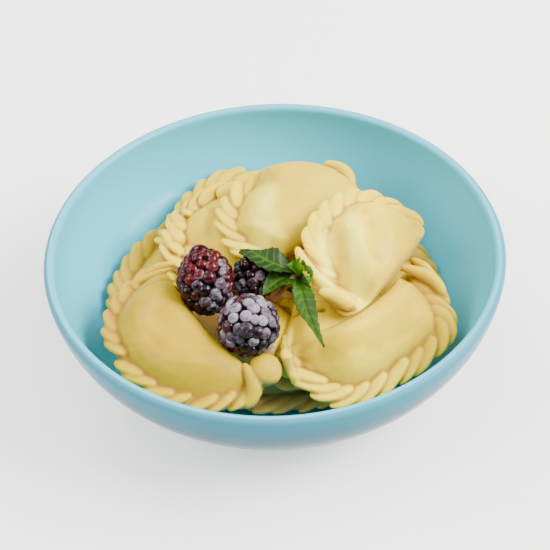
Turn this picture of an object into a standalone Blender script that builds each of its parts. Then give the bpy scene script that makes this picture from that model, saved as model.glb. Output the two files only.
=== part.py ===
"""A bowl of pierogi, topped with three frozen berries and a sprig of mint.

Lengths are in metres and +Z is up. The origin is on the table, under the middle of the bowl.
The bowl is a turned shape. Each dumpling is a half-moon with a braided edge, and lies where PILE
says: its soft underside takes the shape of what is under it.
"""

import math
from typing import NamedTuple

import bmesh
import bpy
import numpy as np
from mathutils import Matrix, Vector
from mathutils.bvhtree import BVHTree

MM = 0.001

# The bowl.
RIM_RADIUS = 90 * MM
RIM_HEIGHT = 54 * MM
WALL = 4.2 * MM
FOOT_RADIUS = 40 * MM
FOOT_HEIGHT = 3 * MM
FOOT_WIDTH = 4 * MM
FOOT_RECESS = 1.6 * MM
WALL_CURVE = 1.82
WALL_POINTS = 5
BOWL_STEPS = 40

# A dumpling. Its fold lies along its own X, and its braid bulges towards its own +Y.
DUMPLING_HEIGHT = 16 * MM
MIDDLE_DEPTH = 0.44
PLEATS = 13
FOLD_COLUMNS = 6

# How thick a dumpling is, at a distance from its edge: along the braid, and along the fold.
BRAID_DISTANCE = np.array((0, 1.2, 3.5, 8, 9.5, 12.5, 17, 23)) * MM
BRAID_THICKNESS = np.array((2.6, 3.8, 4.4, 4.3, 5.6, 10.6, 14.6, 16)) * MM
FOLD_DISTANCE = np.array((0, 1, 3, 6, 10, 15)) * MM
FOLD_THICKNESS = np.array((6, 8.6, 11.4, 13.8, 15.4, 16)) * MM

# The rings of its skin: distances from the edge, then a share of the way on to the middle.
TOP_RINGS = (3 * MM, 8.5 * MM, 13.5 * MM)
UNDER_RINGS = (5 * MM, 12 * MM)
INNER_RING = 0.5

# Each pleat of the braid is a strand that stands proud and leans along the edge.
PLEAT_REACH = 1.4 * MM
PLEAT_RISE = 0.9 * MM
PLEAT_LEAN = 0.7

# The bulb that some dumplings have at one end: the share of the edge that it takes up.
KNOB_REACH = 0.09
KNOB_RISE = 1.2

# The toppings.
DRUPELETS = 30
DRUPELET_RISE = 0.07
BERRY_TAPER = 0.06
LEAF_STATIONS = 7
LEAF_THICKNESS = 1 * MM
LEAF_FOLD = 0.16
LEAF_END = 0.12
NODE_RADIUS = 1.8 * MM
NODE_STRETCH = 1.3
STALK_RADIUS = 1.1 * MM

# How a soft piece lies on what is under it.
GAP = 0.35 * MM
MAP_STEP = 1.5 * MM
MAP_REACH = 96 * MM
SOFT_REACH = 4.5 * MM
SQUASH = 0.5
SPREAD = 6 * MM
ROUNDS = 20
DROP_HEIGHT = 90 * MM
DROP_STEP = 0.25 * MM
SAMPLES = [(a / 4, b / 4) for a in range(5) for b in range(5 - a)]
EDGE_SHARES = (0, 0.25, 0.5, 0.75)
SKY = 0.3


class Dumpling(NamedTuple):
    """Where a dumpling lies, in millimetres and degrees.

    x, y and z give the middle of its fold, on its underside. It faces the way that its braid bulges.
    Its tilt lowers the braid, and its roll lowers the end on the right of the way that it faces.
    Its bow curves the fold, its sag lowers both ends, and a larger power makes the ends squarer.
    A knob is how far the round bulb at its left end stands out, and plump scales its thickness.
    """

    name: str
    x: float
    y: float
    z: float
    facing: float
    tilt: float = 0
    roll: float = 0
    length: float = 77
    depth: float = 38.5
    bow: float = 0
    sag: float = 3
    power: float = 2.5
    knob: float = 0
    plump: float = 1


# From the bottom of the bowl upwards.
PILE = (
    Dumpling("pierogi_low_back", 20, 22, 9, 62, tilt=-14, sag=-1),
    Dumpling("pierogi_low_front", 2, -17, 9, -88, tilt=-7, sag=-1, power=2.3),
    Dumpling("pierogi_low_right", 30, 3, 11, 5, tilt=-13, sag=0, power=2.3),
    Dumpling("pierogi_left", -28, 7, 13, 148, tilt=-17, sag=-1, power=2.8),
    Dumpling("pierogi_back_left", -8, 33, 17, 155, tilt=-15, roll=-4, sag=0, power=2.8),
    Dumpling("pierogi_under_mint", 16, -3, 26, 92, length=60, depth=36),
    Dumpling("pierogi_under_berries", -22, -35, 26, 50, tilt=-2, length=66, plump=0.95),
    Dumpling("pierogi_centre", 6, -19, 31, -16, tilt=8, roll=12, length=62),
    Dumpling("pierogi_middle_left", -8, 18, 31, 172, length=66, depth=37, power=2.8, plump=0.95),
    Dumpling(
        "pierogi_front_left", -23.5, -29.5, 40.5, 213, tilt=2, roll=-4,
        length=76, depth=41, bow=7, sag=5, power=2.1, knob=3, plump=0.92,
    ),
    Dumpling(
        "pierogi_front_right", 25.5, -22.7, 38, -56, tilt=11, roll=6,
        length=70, depth=39, bow=8.5, sag=1, power=3.4,
    ),
    Dumpling("pierogi_back", 16, 20, 45, 141, tilt=-1, length=71, depth=36.5, bow=-12, sag=1, power=2.7),
    Dumpling("pierogi_right", 47, -11, 44, 146, tilt=-26, length=62, depth=38, sag=4, power=2.9),
)


class Berry(NamedTuple):
    """Where a berry lies in plan, its two half sizes, and which way its tip points."""

    name: str
    x: float
    y: float
    radius: float
    half_length: float
    heading: float
    climb: float


BERRIES = (
    Berry("berry_back", -7.6, -15.5, 8.3, 9.4, 60, 25),
    Berry("berry_left", -26.2, -22.3, 10, 12.4, 100, 40),
    Berry("berry_front", -10.4, -42.6, 11.2, 10.6, -90, 45),
)


class Leaf(NamedTuple):
    """A leaf from its base over its middle to its tip, and its greatest width."""

    base: tuple
    middle: tuple
    tip: tuple
    width: float


MINT_NODE = (9.2, -19.6, 56.3)
MINT_STALK_END = (-1, -25, 46)
LEAVES = (
    Leaf((9.5, -18, 53), (-4, -15, 61), (-13.5, -5, 54), 12),
    Leaf((9.5, -19, 52), (2, -23, 53), (-5, -27, 52), 9),
    Leaf((10.5, -19.5, 52), (8.5, -34, 53), (15.8, -53, 50), 8),
    Leaf((10, -18, 53), (10.5, -13, 56), (11, -9, 55), 5),
    Leaf((11, -18.5, 53), (13, -20.5, 56), (14, -23, 54), 4),
)


def link(obj, collection):
    collection.objects.link(obj)
    return obj


def food_material(name, colour, roughness):
    """A Principled material of one colour."""
    material = bpy.data.materials.new(name)
    material.use_nodes = True
    shader = material.node_tree.nodes["Principled BSDF"]
    shader.inputs["Base Color"].default_value = (*colour, 1)
    shader.inputs["Roughness"].default_value = roughness
    return material


def wall_points(rim_radius, foot_radius, top, bottom):
    """The curve of a wall from its rim down to its foot, as (radius, height)."""
    points = []
    for i in range(WALL_POINTS + 1):
        turn = math.pi / 2 * i / WALL_POINTS
        radius = foot_radius + (rim_radius - foot_radius) * math.cos(turn) ** (2 / WALL_CURVE)
        height = top + (bottom - top) * math.sin(turn) ** (2 / WALL_CURVE)
        points.append((radius, height))
    return points


def bowl_profile():
    """The bowl's section, from the middle of its floor up, over the rim and down to the foot."""
    floor = FOOT_HEIGHT + WALL
    lip = WALL / 2
    inner = wall_points(RIM_RADIUS - WALL, FOOT_RADIUS - WALL, RIM_HEIGHT - lip, floor)
    outer = wall_points(RIM_RADIUS, FOOT_RADIUS, RIM_HEIGHT - lip, FOOT_HEIGHT)
    rim = [(RIM_RADIUS - lip * 1.6, RIM_HEIGHT - lip * 0.3), (RIM_RADIUS - lip * 0.8, RIM_HEIGHT)]
    foot = [
        (FOOT_RADIUS - FOOT_HEIGHT / 3, 0),
        (FOOT_RADIUS - FOOT_WIDTH, 0),
        (FOOT_RADIUS - FOOT_WIDTH - FOOT_RECESS, FOOT_RECESS),
        (0, FOOT_RECESS),
    ]
    return [(0, floor), *reversed(inner), *rim, *outer, *foot]


def make_bowl(collection):
    """The turned bowl."""
    profile = bowl_profile()
    mesh = bpy.data.meshes.new("bowl")
    edges = [(i, i + 1) for i in range(len(profile) - 1)]
    mesh.from_pydata([(radius, 0, height) for radius, height in profile], edges, [])
    bowl = link(bpy.data.objects.new("bowl", mesh), collection)
    screw = bowl.modifiers.new("turn", "SCREW")
    screw.steps = BOWL_STEPS
    screw.render_steps = BOWL_STEPS
    screw.use_merge_vertices = True
    screw.merge_threshold = 0.00005
    screw.use_smooth_shade = True
    mesh.materials.append(food_material("bowl_glaze", (0.30, 0.56, 0.62), 0.25))
    return bowl


def outline(dumpling, share):
    """A point of the dumpling's edge in its own plan.

    share runs from 0 to 1 along the braid, from its right end to its left, and from 1 to 2 back
    along the fold.
    """
    half = dumpling.length * MM / 2
    if share <= 1:
        turn = math.pi * share
        along = math.copysign(abs(math.cos(turn)) ** (2 / dumpling.power), math.cos(turn))
        return Vector((half * along, dumpling.depth * MM * math.sin(turn) ** (2 / dumpling.power)))
    return Vector((half * (2 * (share - 1) - 1), 0))


def braid_weight(share):
    """1 along the braid and 0 along the fold, with a half at the two ends."""
    return min(1, max(0, 0.5 + 2.2 * math.sin(math.pi * share)))


def thickness(distance, weight):
    """The dumpling's thickness at a distance from its edge."""
    braid = np.interp(distance, BRAID_DISTANCE, BRAID_THICKNESS)
    fold = np.interp(distance, FOLD_DISTANCE, FOLD_THICKNESS)
    return fold + (braid - fold) * weight


def column_shares():
    """Where the columns of the skin meet the edge: two for each pleat, and some along the fold."""
    braid = [i / (2 * PLEATS) for i in range(2 * PLEATS)]
    fold = [1 + i / FOLD_COLUMNS for i in range(FOLD_COLUMNS)]
    return braid + fold


def skin_points(dumpling, distance, inner=None):
    """One ring of the skin, as rows of (x, y, thickness), at a distance from the edge."""
    middle = Vector((0, MIDDLE_DEPTH * dumpling.depth * MM))
    rows = []
    for column, share in enumerate(column_shares()):
        weight = braid_weight(share)
        on_braid = share < 1
        swell = (1 if column % 2 == 0 else -1) * weight if on_braid else 0
        near_edge = inner is None and distance < 5 * MM
        lean = PLEAT_LEAN * distance / (5 * MM) / PLEATS if on_braid and near_edge else 0
        edge = outline(dumpling, min(1, share + lean * weight) if on_braid else share)
        inward = middle - edge
        length = inward.length
        out = distance if inner is None else TOP_RINGS[-1] + inner * (length - TOP_RINGS[-1])
        out = min(out, 0.8 * length)
        thick = thickness(out, weight)
        if near_edge:
            out -= PLEAT_REACH * swell * (1 - distance / (5 * MM))
            thick += PLEAT_RISE * swell
        knob = dumpling.knob * MM * math.exp(-(((share - 1) / KNOB_REACH) ** 2))
        if near_edge:
            out -= knob
        place = edge + inward.normalized() * out
        rows.append((place.x, place.y, thick * dumpling.plump + knob * KNOB_RISE))
    return rows


def add_ring(skin, rows, share_of_height, layer):
    """One closed ring of vertices. The layers hold each vertex's thickness and its share of it."""
    ring = []
    for x, y, thick in rows:
        vertex = skin.verts.new((x, y, 0))
        vertex[layer[0]] = thick
        vertex[layer[1]] = share_of_height
        ring.append(vertex)
    return ring


def bridge(skin, outer, inner, is_top):
    """The faces between two rings."""
    count = len(outer)
    for i in range(count):
        corners = [outer[i], outer[(i + 1) % count], inner[(i + 1) % count], inner[i]]
        skin.faces.new(corners if is_top else reversed(corners))


def close(skin, ring, middle, is_top):
    """The fan of faces from a ring to the middle."""
    count = len(ring)
    for i in range(count):
        corners = [ring[i], ring[(i + 1) % count], middle]
        skin.faces.new(corners if is_top else reversed(corners))


def dumpling_skin(dumpling):
    """The dumpling's closed skin in its own plan: its edge, and rings over and under it."""
    skin = bmesh.new()
    layer = (skin.verts.layers.float.new("thickness"), skin.verts.layers.float.new("share"))
    edge = add_ring(skin, skin_points(dumpling, 0), 0.5, layer)
    for is_top, distances in ((True, TOP_RINGS), (False, UNDER_RINGS)):
        outer = edge
        level = 1 if is_top else 0
        for distance in distances:
            ring = add_ring(skin, skin_points(dumpling, distance), level, layer)
            bridge(skin, outer, ring, is_top)
            outer = ring
        ring = add_ring(skin, skin_points(dumpling, None, INNER_RING), level, layer)
        bridge(skin, outer, ring, is_top)
        peak = (0, MIDDLE_DEPTH * dumpling.depth * MM, DUMPLING_HEIGHT * dumpling.plump)
        middle = add_ring(skin, [peak], level, layer)[0]
        close(skin, ring, middle, is_top)
    bmesh.ops.triangulate(skin, faces=skin.faces)
    return skin, layer


def posed(dumpling, x, y, height):
    """Points of a dumpling's own plan, bent and turned to lie in the bowl."""
    half = dumpling.length * MM / 2
    depth = dumpling.depth * MM
    along = x / half
    bend = dumpling.bow * MM * (1 - along**2) * np.clip(1 - y / depth, 0, 1)
    drop = dumpling.sag * MM * along**2
    local = np.stack([x, y + bend, height - drop], axis=1)
    turn = (
        Matrix.Rotation(math.radians(dumpling.facing - 90), 3, "Z")
        @ Matrix.Rotation(math.radians(dumpling.roll), 3, "Y")
        @ Matrix.Rotation(math.radians(-dumpling.tilt), 3, "X")
    )
    return local @ np.array(turn).T + np.array((dumpling.x, dumpling.y, dumpling.z)) * MM


class GroundMap:
    """The height of the highest surface so far, on a square grid over the bowl."""

    def __init__(self):
        self.ticks = np.arange(-MAP_REACH, MAP_REACH + MAP_STEP / 2, MAP_STEP)
        count = len(self.ticks)
        self.height = np.zeros((count, count))
        self.soft = self.height

    def add(self, piece):
        """Takes in the top of a piece that has been placed."""
        down = Vector((0, 0, -1))
        for i, x in enumerate(self.ticks):
            for j, y in enumerate(self.ticks):
                hit = piece.tree.ray_cast(Vector((x, y, SKY)), down)[0]
                if hit is not None:
                    self.height[i, j] = max(self.height[i, j], hit.z)
        self.soften()

    def soften(self):
        """Widens each high place a little and rounds the result."""
        reach = round(SOFT_REACH / MAP_STEP)
        soft = self.height.copy()
        for i in range(-reach, reach + 1):
            for j in range(-reach, reach + 1):
                away = math.hypot(i, j) * MAP_STEP
                if away <= SOFT_REACH:
                    drop = away**2 / (2 * SOFT_REACH)
                    soft = np.maximum(soft, np.roll(self.height, (i, j), (0, 1)) - drop * 2)
        self.soft = soft

    def sample(self, grid, x, y):
        """A grid's value at places between its points."""
        a = np.clip((x - self.ticks[0]) / MAP_STEP, 0, len(self.ticks) - 1.001)
        b = np.clip((y - self.ticks[0]) / MAP_STEP, 0, len(self.ticks) - 1.001)
        i, j = a.astype(int), b.astype(int)
        p, q = a - i, b - j
        low = grid[i, j] * (1 - q) + grid[i, j + 1] * q
        high = grid[i + 1, j] * (1 - q) + grid[i + 1, j + 1] * q
        return low * (1 - p) + high * p


def lie(plane, thick, share, ground):
    """The heights of a soft piece's vertices on the ground: it thins first, and then it rises."""
    under = np.maximum(plane, ground + GAP)
    lift = under - plane
    top = plane + thick + np.maximum(0, lift - SQUASH * thick)
    return under + share * (top - under)


class Placed:
    """A piece that has been placed: a search tree of its surface, and points along its edges."""

    def __init__(self, obj):
        bpy.context.view_layer.update()
        depsgraph = bpy.context.evaluated_depsgraph_get()
        self.tree = BVHTree.FromObject(obj, depsgraph)
        mesh = obj.evaluated_get(depsgraph).to_mesh()
        ends = [[mesh.vertices[i].co.copy() for i in edge.vertices] for edge in mesh.edges]
        self.points = [start.lerp(end, share) for start, end in ends for share in EDGE_SHARES]


def sunk_by(skin, placed):
    """How deep each vertex's faces are in what has been placed already."""
    down = Vector((0, 0, -1))
    up = Vector((0, 0, 1))
    depth = np.zeros(len(skin.verts))
    short = []
    for face in skin.faces:
        p, q, r = (vertex.co for vertex in face.verts)
        for a, b in SAMPLES:
            point = p * a + q * b + r * (1 - a - b)
            for piece in placed:
                hit = piece.tree.ray_cast(Vector((point.x, point.y, SKY)), down)[0]
                if hit is not None and hit.z + 0.8 * GAP > point.z:
                    short.append((face, hit.z + GAP - point.z))
    skin.faces.ensure_lookup_table()
    own = BVHTree.FromBMesh(skin)
    for piece in placed:
        for point in piece.points:
            hit, _, face, _ = own.ray_cast(Vector((point.x, point.y, -SKY)), up)
            if hit is not None and point.z + 0.8 * GAP > hit.z:
                short.append((skin.faces[face], point.z + GAP - hit.z))
    for face, amount in short:
        for vertex in face.verts:
            depth[vertex.index] = max(depth[vertex.index], amount)
    return depth


def settle(skin, places, plane, thick, share, ground, placed):
    """Lays a soft skin on the ground, given its vertices in plan and the height of its underside."""
    x, y = places.T
    away = np.hypot(x[:, None] - x[None, :], y[:, None] - y[None, :])
    near = np.clip(1 - away / SPREAD, 0, 1)
    level = ground.sample(ground.soft, x, y)
    for _ in range(ROUNDS):
        for vertex, place in zip(skin.verts, zip(x, y, lie(plane, thick, share, level))):
            vertex.co = place
        depth = sunk_by(skin, placed)
        if not depth.any():
            break
        level = np.maximum(level, plane - GAP) + (near * depth[None, :]).max(axis=1)


def finish_skin(skin, name, material, collection):
    """The object of a skin, whose bmesh is freed."""
    mesh = bpy.data.meshes.new(name)
    skin.to_mesh(mesh)
    skin.free()
    mesh.shade_smooth()
    mesh.materials.append(material)
    return link(bpy.data.objects.new(name, mesh), collection)


def make_dumpling(dumpling, ground, placed, material, collection):
    """One dumpling, laid in the bowl."""
    skin, layer = dumpling_skin(dumpling)
    skin.verts.index_update()
    plan = np.array([vertex.co for vertex in skin.verts])
    thick = np.array([vertex[layer[0]] for vertex in skin.verts])
    share = np.array([vertex[layer[1]] for vertex in skin.verts])
    flat = posed(dumpling, plan[:, 0], plan[:, 1], np.zeros(len(plan)))
    solid = posed(dumpling, plan[:, 0], plan[:, 1], thick * share)
    settle(skin, solid[:, :2], flat[:, 2], thick, share, ground, placed)
    return finish_skin(skin, dumpling.name, material, collection)


def ball_points(count):
    """Directions spread evenly over a ball."""
    golden = math.pi * (3 - math.sqrt(5))
    points = []
    for i in range(count):
        height = 1 - 2 * (i + 0.5) / count
        reach = math.sqrt(1 - height**2)
        points.append(Vector((reach * math.cos(golden * i), reach * math.sin(golden * i), height)))
    return points


def make_berry(berry, placed, material, collection):
    """A berry of many drupelets, lowered until it rests on something."""
    skin = bmesh.new()
    bmesh.ops.create_icosphere(skin, subdivisions=3, radius=1)
    middles = ball_points(DRUPELETS)
    sizes = Vector((berry.radius, berry.radius, berry.half_length)) * MM
    for vertex in skin.verts:
        closeness = max(vertex.co.dot(middle) for middle in middles)
        bump = 1 + DRUPELET_RISE * (closeness - 0.96) / 0.04
        taper = 1 - BERRY_TAPER * vertex.co.z
        vertex.co *= bump * sizes * Vector((taper, taper, 1))
    lean = Matrix.Rotation(math.radians(90 - berry.climb), 4, "Y")
    turn = Matrix.Rotation(math.radians(berry.heading), 4, "Z")
    start = Matrix.Translation((berry.x * MM, berry.y * MM, DROP_HEIGHT))
    bmesh.ops.transform(skin, matrix=start @ turn @ lean, verts=skin.verts)
    while not is_touching(skin, placed):
        bmesh.ops.translate(skin, vec=(0, 0, -DROP_STEP), verts=skin.verts)
    bmesh.ops.translate(skin, vec=(0, 0, DROP_STEP), verts=skin.verts)
    return finish_skin(skin, berry.name, material, collection)


def is_touching(skin, placed):
    """Whether a skin, made thicker by the gap, meets any piece that has been placed."""
    thicker = skin.copy()
    thicker.normal_update()
    for vertex in thicker.verts:
        vertex.co += vertex.normal * GAP
    tree = BVHTree.FromBMesh(thicker)
    thicker.free()
    return any(tree.overlap(piece.tree) for piece in placed)


def leaf_place(leaf, along, across):
    """A point of a leaf's underside: it follows its curve, and folds up a little from its midrib."""
    base, middle, tip = (Vector(point) * MM for point in (leaf.base, leaf.middle, leaf.tip))
    control = 2 * middle - (base + tip) / 2
    spine = (1 - along) ** 2 * base + 2 * along * (1 - along) * control + along**2 * tip
    ahead = 2 * (1 - along) * (control - base) + 2 * along * (tip - control)
    side = Vector((-ahead.y, ahead.x, 0)).normalized()
    half = leaf.width * MM / 2 * max(LEAF_END, math.sin(math.pi * along**0.8))
    return spine + side * across * half + Vector((0, 0, abs(across) * half * LEAF_FOLD))


def make_leaf(leaf, name, ground, placed, material, collection):
    """One leaf, laid over what is under it."""
    skin = bmesh.new()
    bmesh.ops.create_grid(skin, x_segments=LEAF_STATIONS, y_segments=2, size=0.5)
    bmesh.ops.solidify(skin, geom=skin.faces[:], thickness=1)
    bmesh.ops.triangulate(skin, faces=skin.faces[:])
    bmesh.ops.recalc_face_normals(skin, faces=skin.faces[:])
    skin.verts.index_update()
    heights = np.array([vertex.co.z for vertex in skin.verts])
    share = (heights > heights.mean()).astype(float)
    under = np.array([leaf_place(leaf, vertex.co.x + 0.5, 2 * vertex.co.y) for vertex in skin.verts])
    thick = np.full(len(under), LEAF_THICKNESS)
    settle(skin, under[:, :2], under[:, 2], thick, share, ground, placed)
    return finish_skin(skin, name, material, collection)


def make_mint(ground, placed, material, collection, cutters):
    """The sprig: its leaves and its stalk, joined at the node."""
    node = Vector(MINT_NODE) * MM
    stalk_end = Vector(MINT_STALK_END) * MM
    skin = bmesh.new()
    bmesh.ops.create_uvsphere(skin, u_segments=10, v_segments=6, radius=NODE_RADIUS)
    bmesh.ops.scale(skin, vec=(1, 1, NODE_STRETCH), verts=skin.verts)
    bmesh.ops.translate(skin, vec=node, verts=skin.verts)
    sprig = finish_skin(skin, "mint_sprig", material, collection)
    skin = bmesh.new()
    stalk = stalk_end - node
    place = Matrix.Translation(node + stalk / 2) @ stalk.to_track_quat("Z", "Y").to_matrix().to_4x4()
    bmesh.ops.create_cone(
        skin,
        cap_ends=True,
        segments=8,
        radius1=STALK_RADIUS,
        radius2=STALK_RADIUS,
        depth=stalk.length,
        matrix=place,
    )
    pieces = [finish_skin(skin, "stalk", material, cutters)]
    for number, leaf in enumerate(LEAVES):
        pieces.append(make_leaf(leaf, f"leaf_{number}", ground, placed, material, cutters))
    for piece in pieces:
        piece.hide_render = True
        piece.display_type = "WIRE"
        union = sprig.modifiers.new(piece.name, "BOOLEAN")
        union.operation = "UNION"
        union.object = piece
    return sprig


def main():
    for obj in list(bpy.data.objects):
        bpy.data.objects.remove(obj)
    collection = bpy.data.collections.new("bowl_of_pierogi")
    cutters = bpy.data.collections.new("cutters")
    bpy.context.scene.collection.children.link(collection)
    bpy.context.scene.collection.children.link(cutters)
    bowl = make_bowl(collection)
    placed = [Placed(bowl)]
    ground = GroundMap()
    ground.add(placed[0])
    dough = food_material("dough", (0.80, 0.70, 0.42), 0.4)
    for dumpling in PILE:
        piece = make_dumpling(dumpling, ground, placed, dough, collection)
        placed.append(Placed(piece))
        ground.add(placed[-1])
    fruit = food_material("berry_skin", (0.10, 0.02, 0.05), 0.45)
    for berry in BERRIES:
        piece = make_berry(berry, placed, fruit, collection)
        placed.append(Placed(piece))
        ground.add(placed[-1])
    mint = food_material("mint_leaf", (0.08, 0.24, 0.03), 0.5)
    make_mint(ground, placed, mint, collection, cutters)


main()
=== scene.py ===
"""The looks of a bowl of pierogi with frozen berries and a sprig of mint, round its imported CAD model.

Lengths are in metres and +Z is up. The origin is on the table, under the middle of the bowl.
The tables of the pile, the berries and the leaves are those of the CAD source, in millimetres
and degrees, so every piece lies where its CAD solid does.
"""

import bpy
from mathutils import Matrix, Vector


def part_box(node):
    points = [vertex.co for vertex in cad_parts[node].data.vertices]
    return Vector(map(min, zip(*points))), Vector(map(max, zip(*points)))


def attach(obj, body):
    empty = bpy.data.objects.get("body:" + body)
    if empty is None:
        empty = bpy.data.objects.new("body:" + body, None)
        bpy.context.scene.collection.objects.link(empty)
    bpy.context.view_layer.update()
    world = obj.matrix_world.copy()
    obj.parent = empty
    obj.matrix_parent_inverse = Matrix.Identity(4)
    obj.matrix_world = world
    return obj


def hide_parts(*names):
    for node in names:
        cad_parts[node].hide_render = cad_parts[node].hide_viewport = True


bl_info = {
    "name": "Bowl of pierogi",
    "version": (1, 0, 0),
    "blender": (4, 5, 0),
    "location": "3D View > Sidebar > Pierogi",
    "description": "Builds a glazed bowl of braided dumplings with berries, mint and butter",
    "category": "Object",
}

import math
from typing import NamedTuple

import bmesh
import bpy
import numpy as np
from mathutils import Matrix, Vector
from mathutils.bvhtree import BVHTree

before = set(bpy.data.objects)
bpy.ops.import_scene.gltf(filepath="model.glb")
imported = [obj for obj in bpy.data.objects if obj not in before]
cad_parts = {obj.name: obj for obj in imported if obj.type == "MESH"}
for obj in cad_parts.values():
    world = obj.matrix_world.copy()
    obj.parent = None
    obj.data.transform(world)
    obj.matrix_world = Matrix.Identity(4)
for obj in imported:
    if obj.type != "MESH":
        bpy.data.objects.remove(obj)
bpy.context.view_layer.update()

MM = 0.001
BODY = "root"

# The bowl. A larger curve number makes its wall squarer.
RIM_RADIUS = 90 * MM
RIM_HEIGHT = 54 * MM
WALL = 4.2 * MM
FOOT_RADIUS = 40 * MM
FOOT_HEIGHT = 3 * MM
FOOT_WIDTH = 4 * MM
FOOT_RECESS = 1.6 * MM
FOOT_EDGE = 0.8 * MM
WALL_CURVE = 1.82
WALL_POINTS = 28
LIP_POINTS = 10
BOWL_STEPS = 192

# The grid of a dumpling's skin. Its columns run in from the edge, a share of them from the braid.
# Its rings run round, a share of them on the upper side, and RIM_SHARE of each side's rings lies
# in a band by the rim, which reaches no more than RIM_REACH of the way to the middle.
COLUMNS = 336
RINGS = 104
BRAID_COLUMNS = 0.72
TOP_SHARE = 0.72
RIM_SHARE = 0.48
RIM_CROWDING = 1.35
RIM_BAND = 10.5 * MM
RIM_REACH = 0.75
MIDDLE_DEPTH = 0.44
MERGE_DISTANCE = 0.01 * MM

# A dumpling's outline and its height over its plan, without the strands of its braid.
# Its fold lies along its own X, and its braid bulges towards its own +Y.
# Its bow and its sag stop growing at BEND_LIMIT of its half length.
BEND_LIMIT = 1.15
EDGE_STEP = 0.25 * MM
EDGE_ROUNDING = 4 * MM
EDGE_TURNS = 721
BRAID_DISTANCE = np.array((0, 1.2, 3.5, 7.4, 8.8, 10, 12.5, 17, 23, 36)) * MM
BRAID_HEIGHT = np.array((2, 3, 3.4, 3.4, 4.2, 6.4, 9.6, 12.9, 15.2, 17.2)) * MM
BRAID_ROUNDING = 0.55 * MM
FOLD_EDGE = 4 * MM
FOLD_UNDERSIDE = 4 * MM
FOLD_REACH = 17 * MM
FULL_HEIGHT = 16 * MM
TOP_RISE = 0.9 * MM
LIP = 1.7 * MM
LIP_REACH = 2 * MM
RELIEF = 0.5 * MM
PULL = 0.2 * MM
SWELL = 0.95 * MM
UNDER_STRANDS = 0.9 * MM
WAVES = 7

# The strands of the braid: each runs from the outer edge inwards and along.
# Heights and radii are in millimetres, at shares of the way in.
# The relief has a few spare strands past both ends, because the slanted rows run out there.
SLANT = 2
FEWEST_STRANDS = 8
SPARE_STRANDS = 8
STRANDS_BEFORE = 3
LOBE_PEAK = 0.36
STRAND_TIP = 0.9 * MM
STRAND_FLAT = 0.52
STRAND_ROLL = math.radians(26)
STRAND_POINTS = 16
STRAND_HEIGHT = ((0, 0.25, 0.6, 0.85, 1), (1.9, 2.7, 3.3, 3.3, 2.9))
STRAND_RADIUS = ((0, 0.2, 0.55, 0.85, 1), (2.5, 3.5, 3.7, 3.3, 2.4))
PATH_POINTS = 24
PATH_SOFTENINGS = 18
STRAND_COLUMNS = 18
STRAND_RINGS = 22
STRAND_FADE = (6.6 * MM, 9.6 * MM)
STRAND_EDGE = 1.6 * MM
END_FADE = 7 * MM
FOLD_FADE = 4 * MM
GROOVE = 8.8 * MM
BARE_BAND = 0.4
BARE_FADE = (-8 * MM, 4 * MM)

# How finely the parts of a dumpling are fused, and how deep a crease is when it is marked in full.
VOXEL = 0.42 * MM
HIDDEN_VOXEL = 0.8 * MM
HIDDEN = ("pierogi_low_back", "pierogi_under_mint", "pierogi_under_berries")
SOFTENINGS = 8
CREASE_ROUNDS = 12
CREASE_SPREAD = 3
CREASE_DEPTH = 0.11 * MM

# How a soft piece lies on what is under it. It thins by SQUASH of its height before its top rises,
# and it keeps LEAST_HEIGHT of its height everywhere.
GAP = 0.3 * MM
LIE_ROUNDING = 0.8 * MM
RISE_ROUNDING = 1.2 * MM
TOP_SINK = 0.3 * MM
LEAST_HEIGHT = 0.25
MAP_STEP = 1 * MM
MAP_REACH = 96 * MM
SOFT_REACH = 3.5 * MM
SQUASH = 0.5
SKY = 0.3

# The bulb at the end of the front left dumpling, in that dumpling's own plan, in millimetres.
KNOB_RADIUS = 6.2 * MM
KNOB_PLACE = (-31, -4, 5)
KNOB_STRETCH = (1.02, 1.08, 0.9)

# Where the dough's painted light and shade change: no painted shade in the hollow of the pile, less pale
# towards the right side, and painted shade towards the left side.
PALE_HOLLOW = (4 * MM, -25 * MM)
HOLLOW_FADE = (11 * MM, 18 * MM)
RIGHT_FADE = (36 * MM, 56 * MM)
LEFT_FADE = (54 * MM, 70 * MM)

# Where the draws of random numbers start. A dumpling adds its own number to the first three.
STRAND_SEED = 300
SWELL_SEED = 50
SMALL_SWELL_SEED = 90
FILM_SEED = 7
FINE_FILM_SEED = 8
BERRY_SEED = 20

# How high over a dumpling's plan its films of butter and fat are placed, in millimetres.
FILM_HEIGHT = 14

# The berries: the sizes of their drupelets, and how far those and the core lie within the outline.
# The first drupelet, at the tip, is a larger one, frosted only where the berry is white with frost.
DRUPELET_SIZE = 0.6
DRUPELET_SINK = 0.62
CORE_SINK = 0.75
SMOOTH_TIP = 1.5
TIP_FROST = 0.62

# The sprig of mint, in millimetres, and its leaves, with the numbers that its vertices carry.
MINT_NODE = (9.2, -19.6, 56.3)
MINT_STALK_END = (-1, -25, 46)
NODE_RADIUS = 1.7
NODE_DROP = -2
STALK_RADIUS = 1.1
STALK_TAPER = 0.85
MINT_NUMBERS = ("vein", "young", "stalk")
LEAF_COLUMNS = 72
LEAF_ROWS = 24
LEAF_THICKNESS = 0.5 * MM
LEAF_GAP = 0.8 * MM
LEAF_ROUNDING = 0.6 * MM
LEAF_FOLD = 0.41
TOOTH_DEPTH = 0.17

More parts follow.
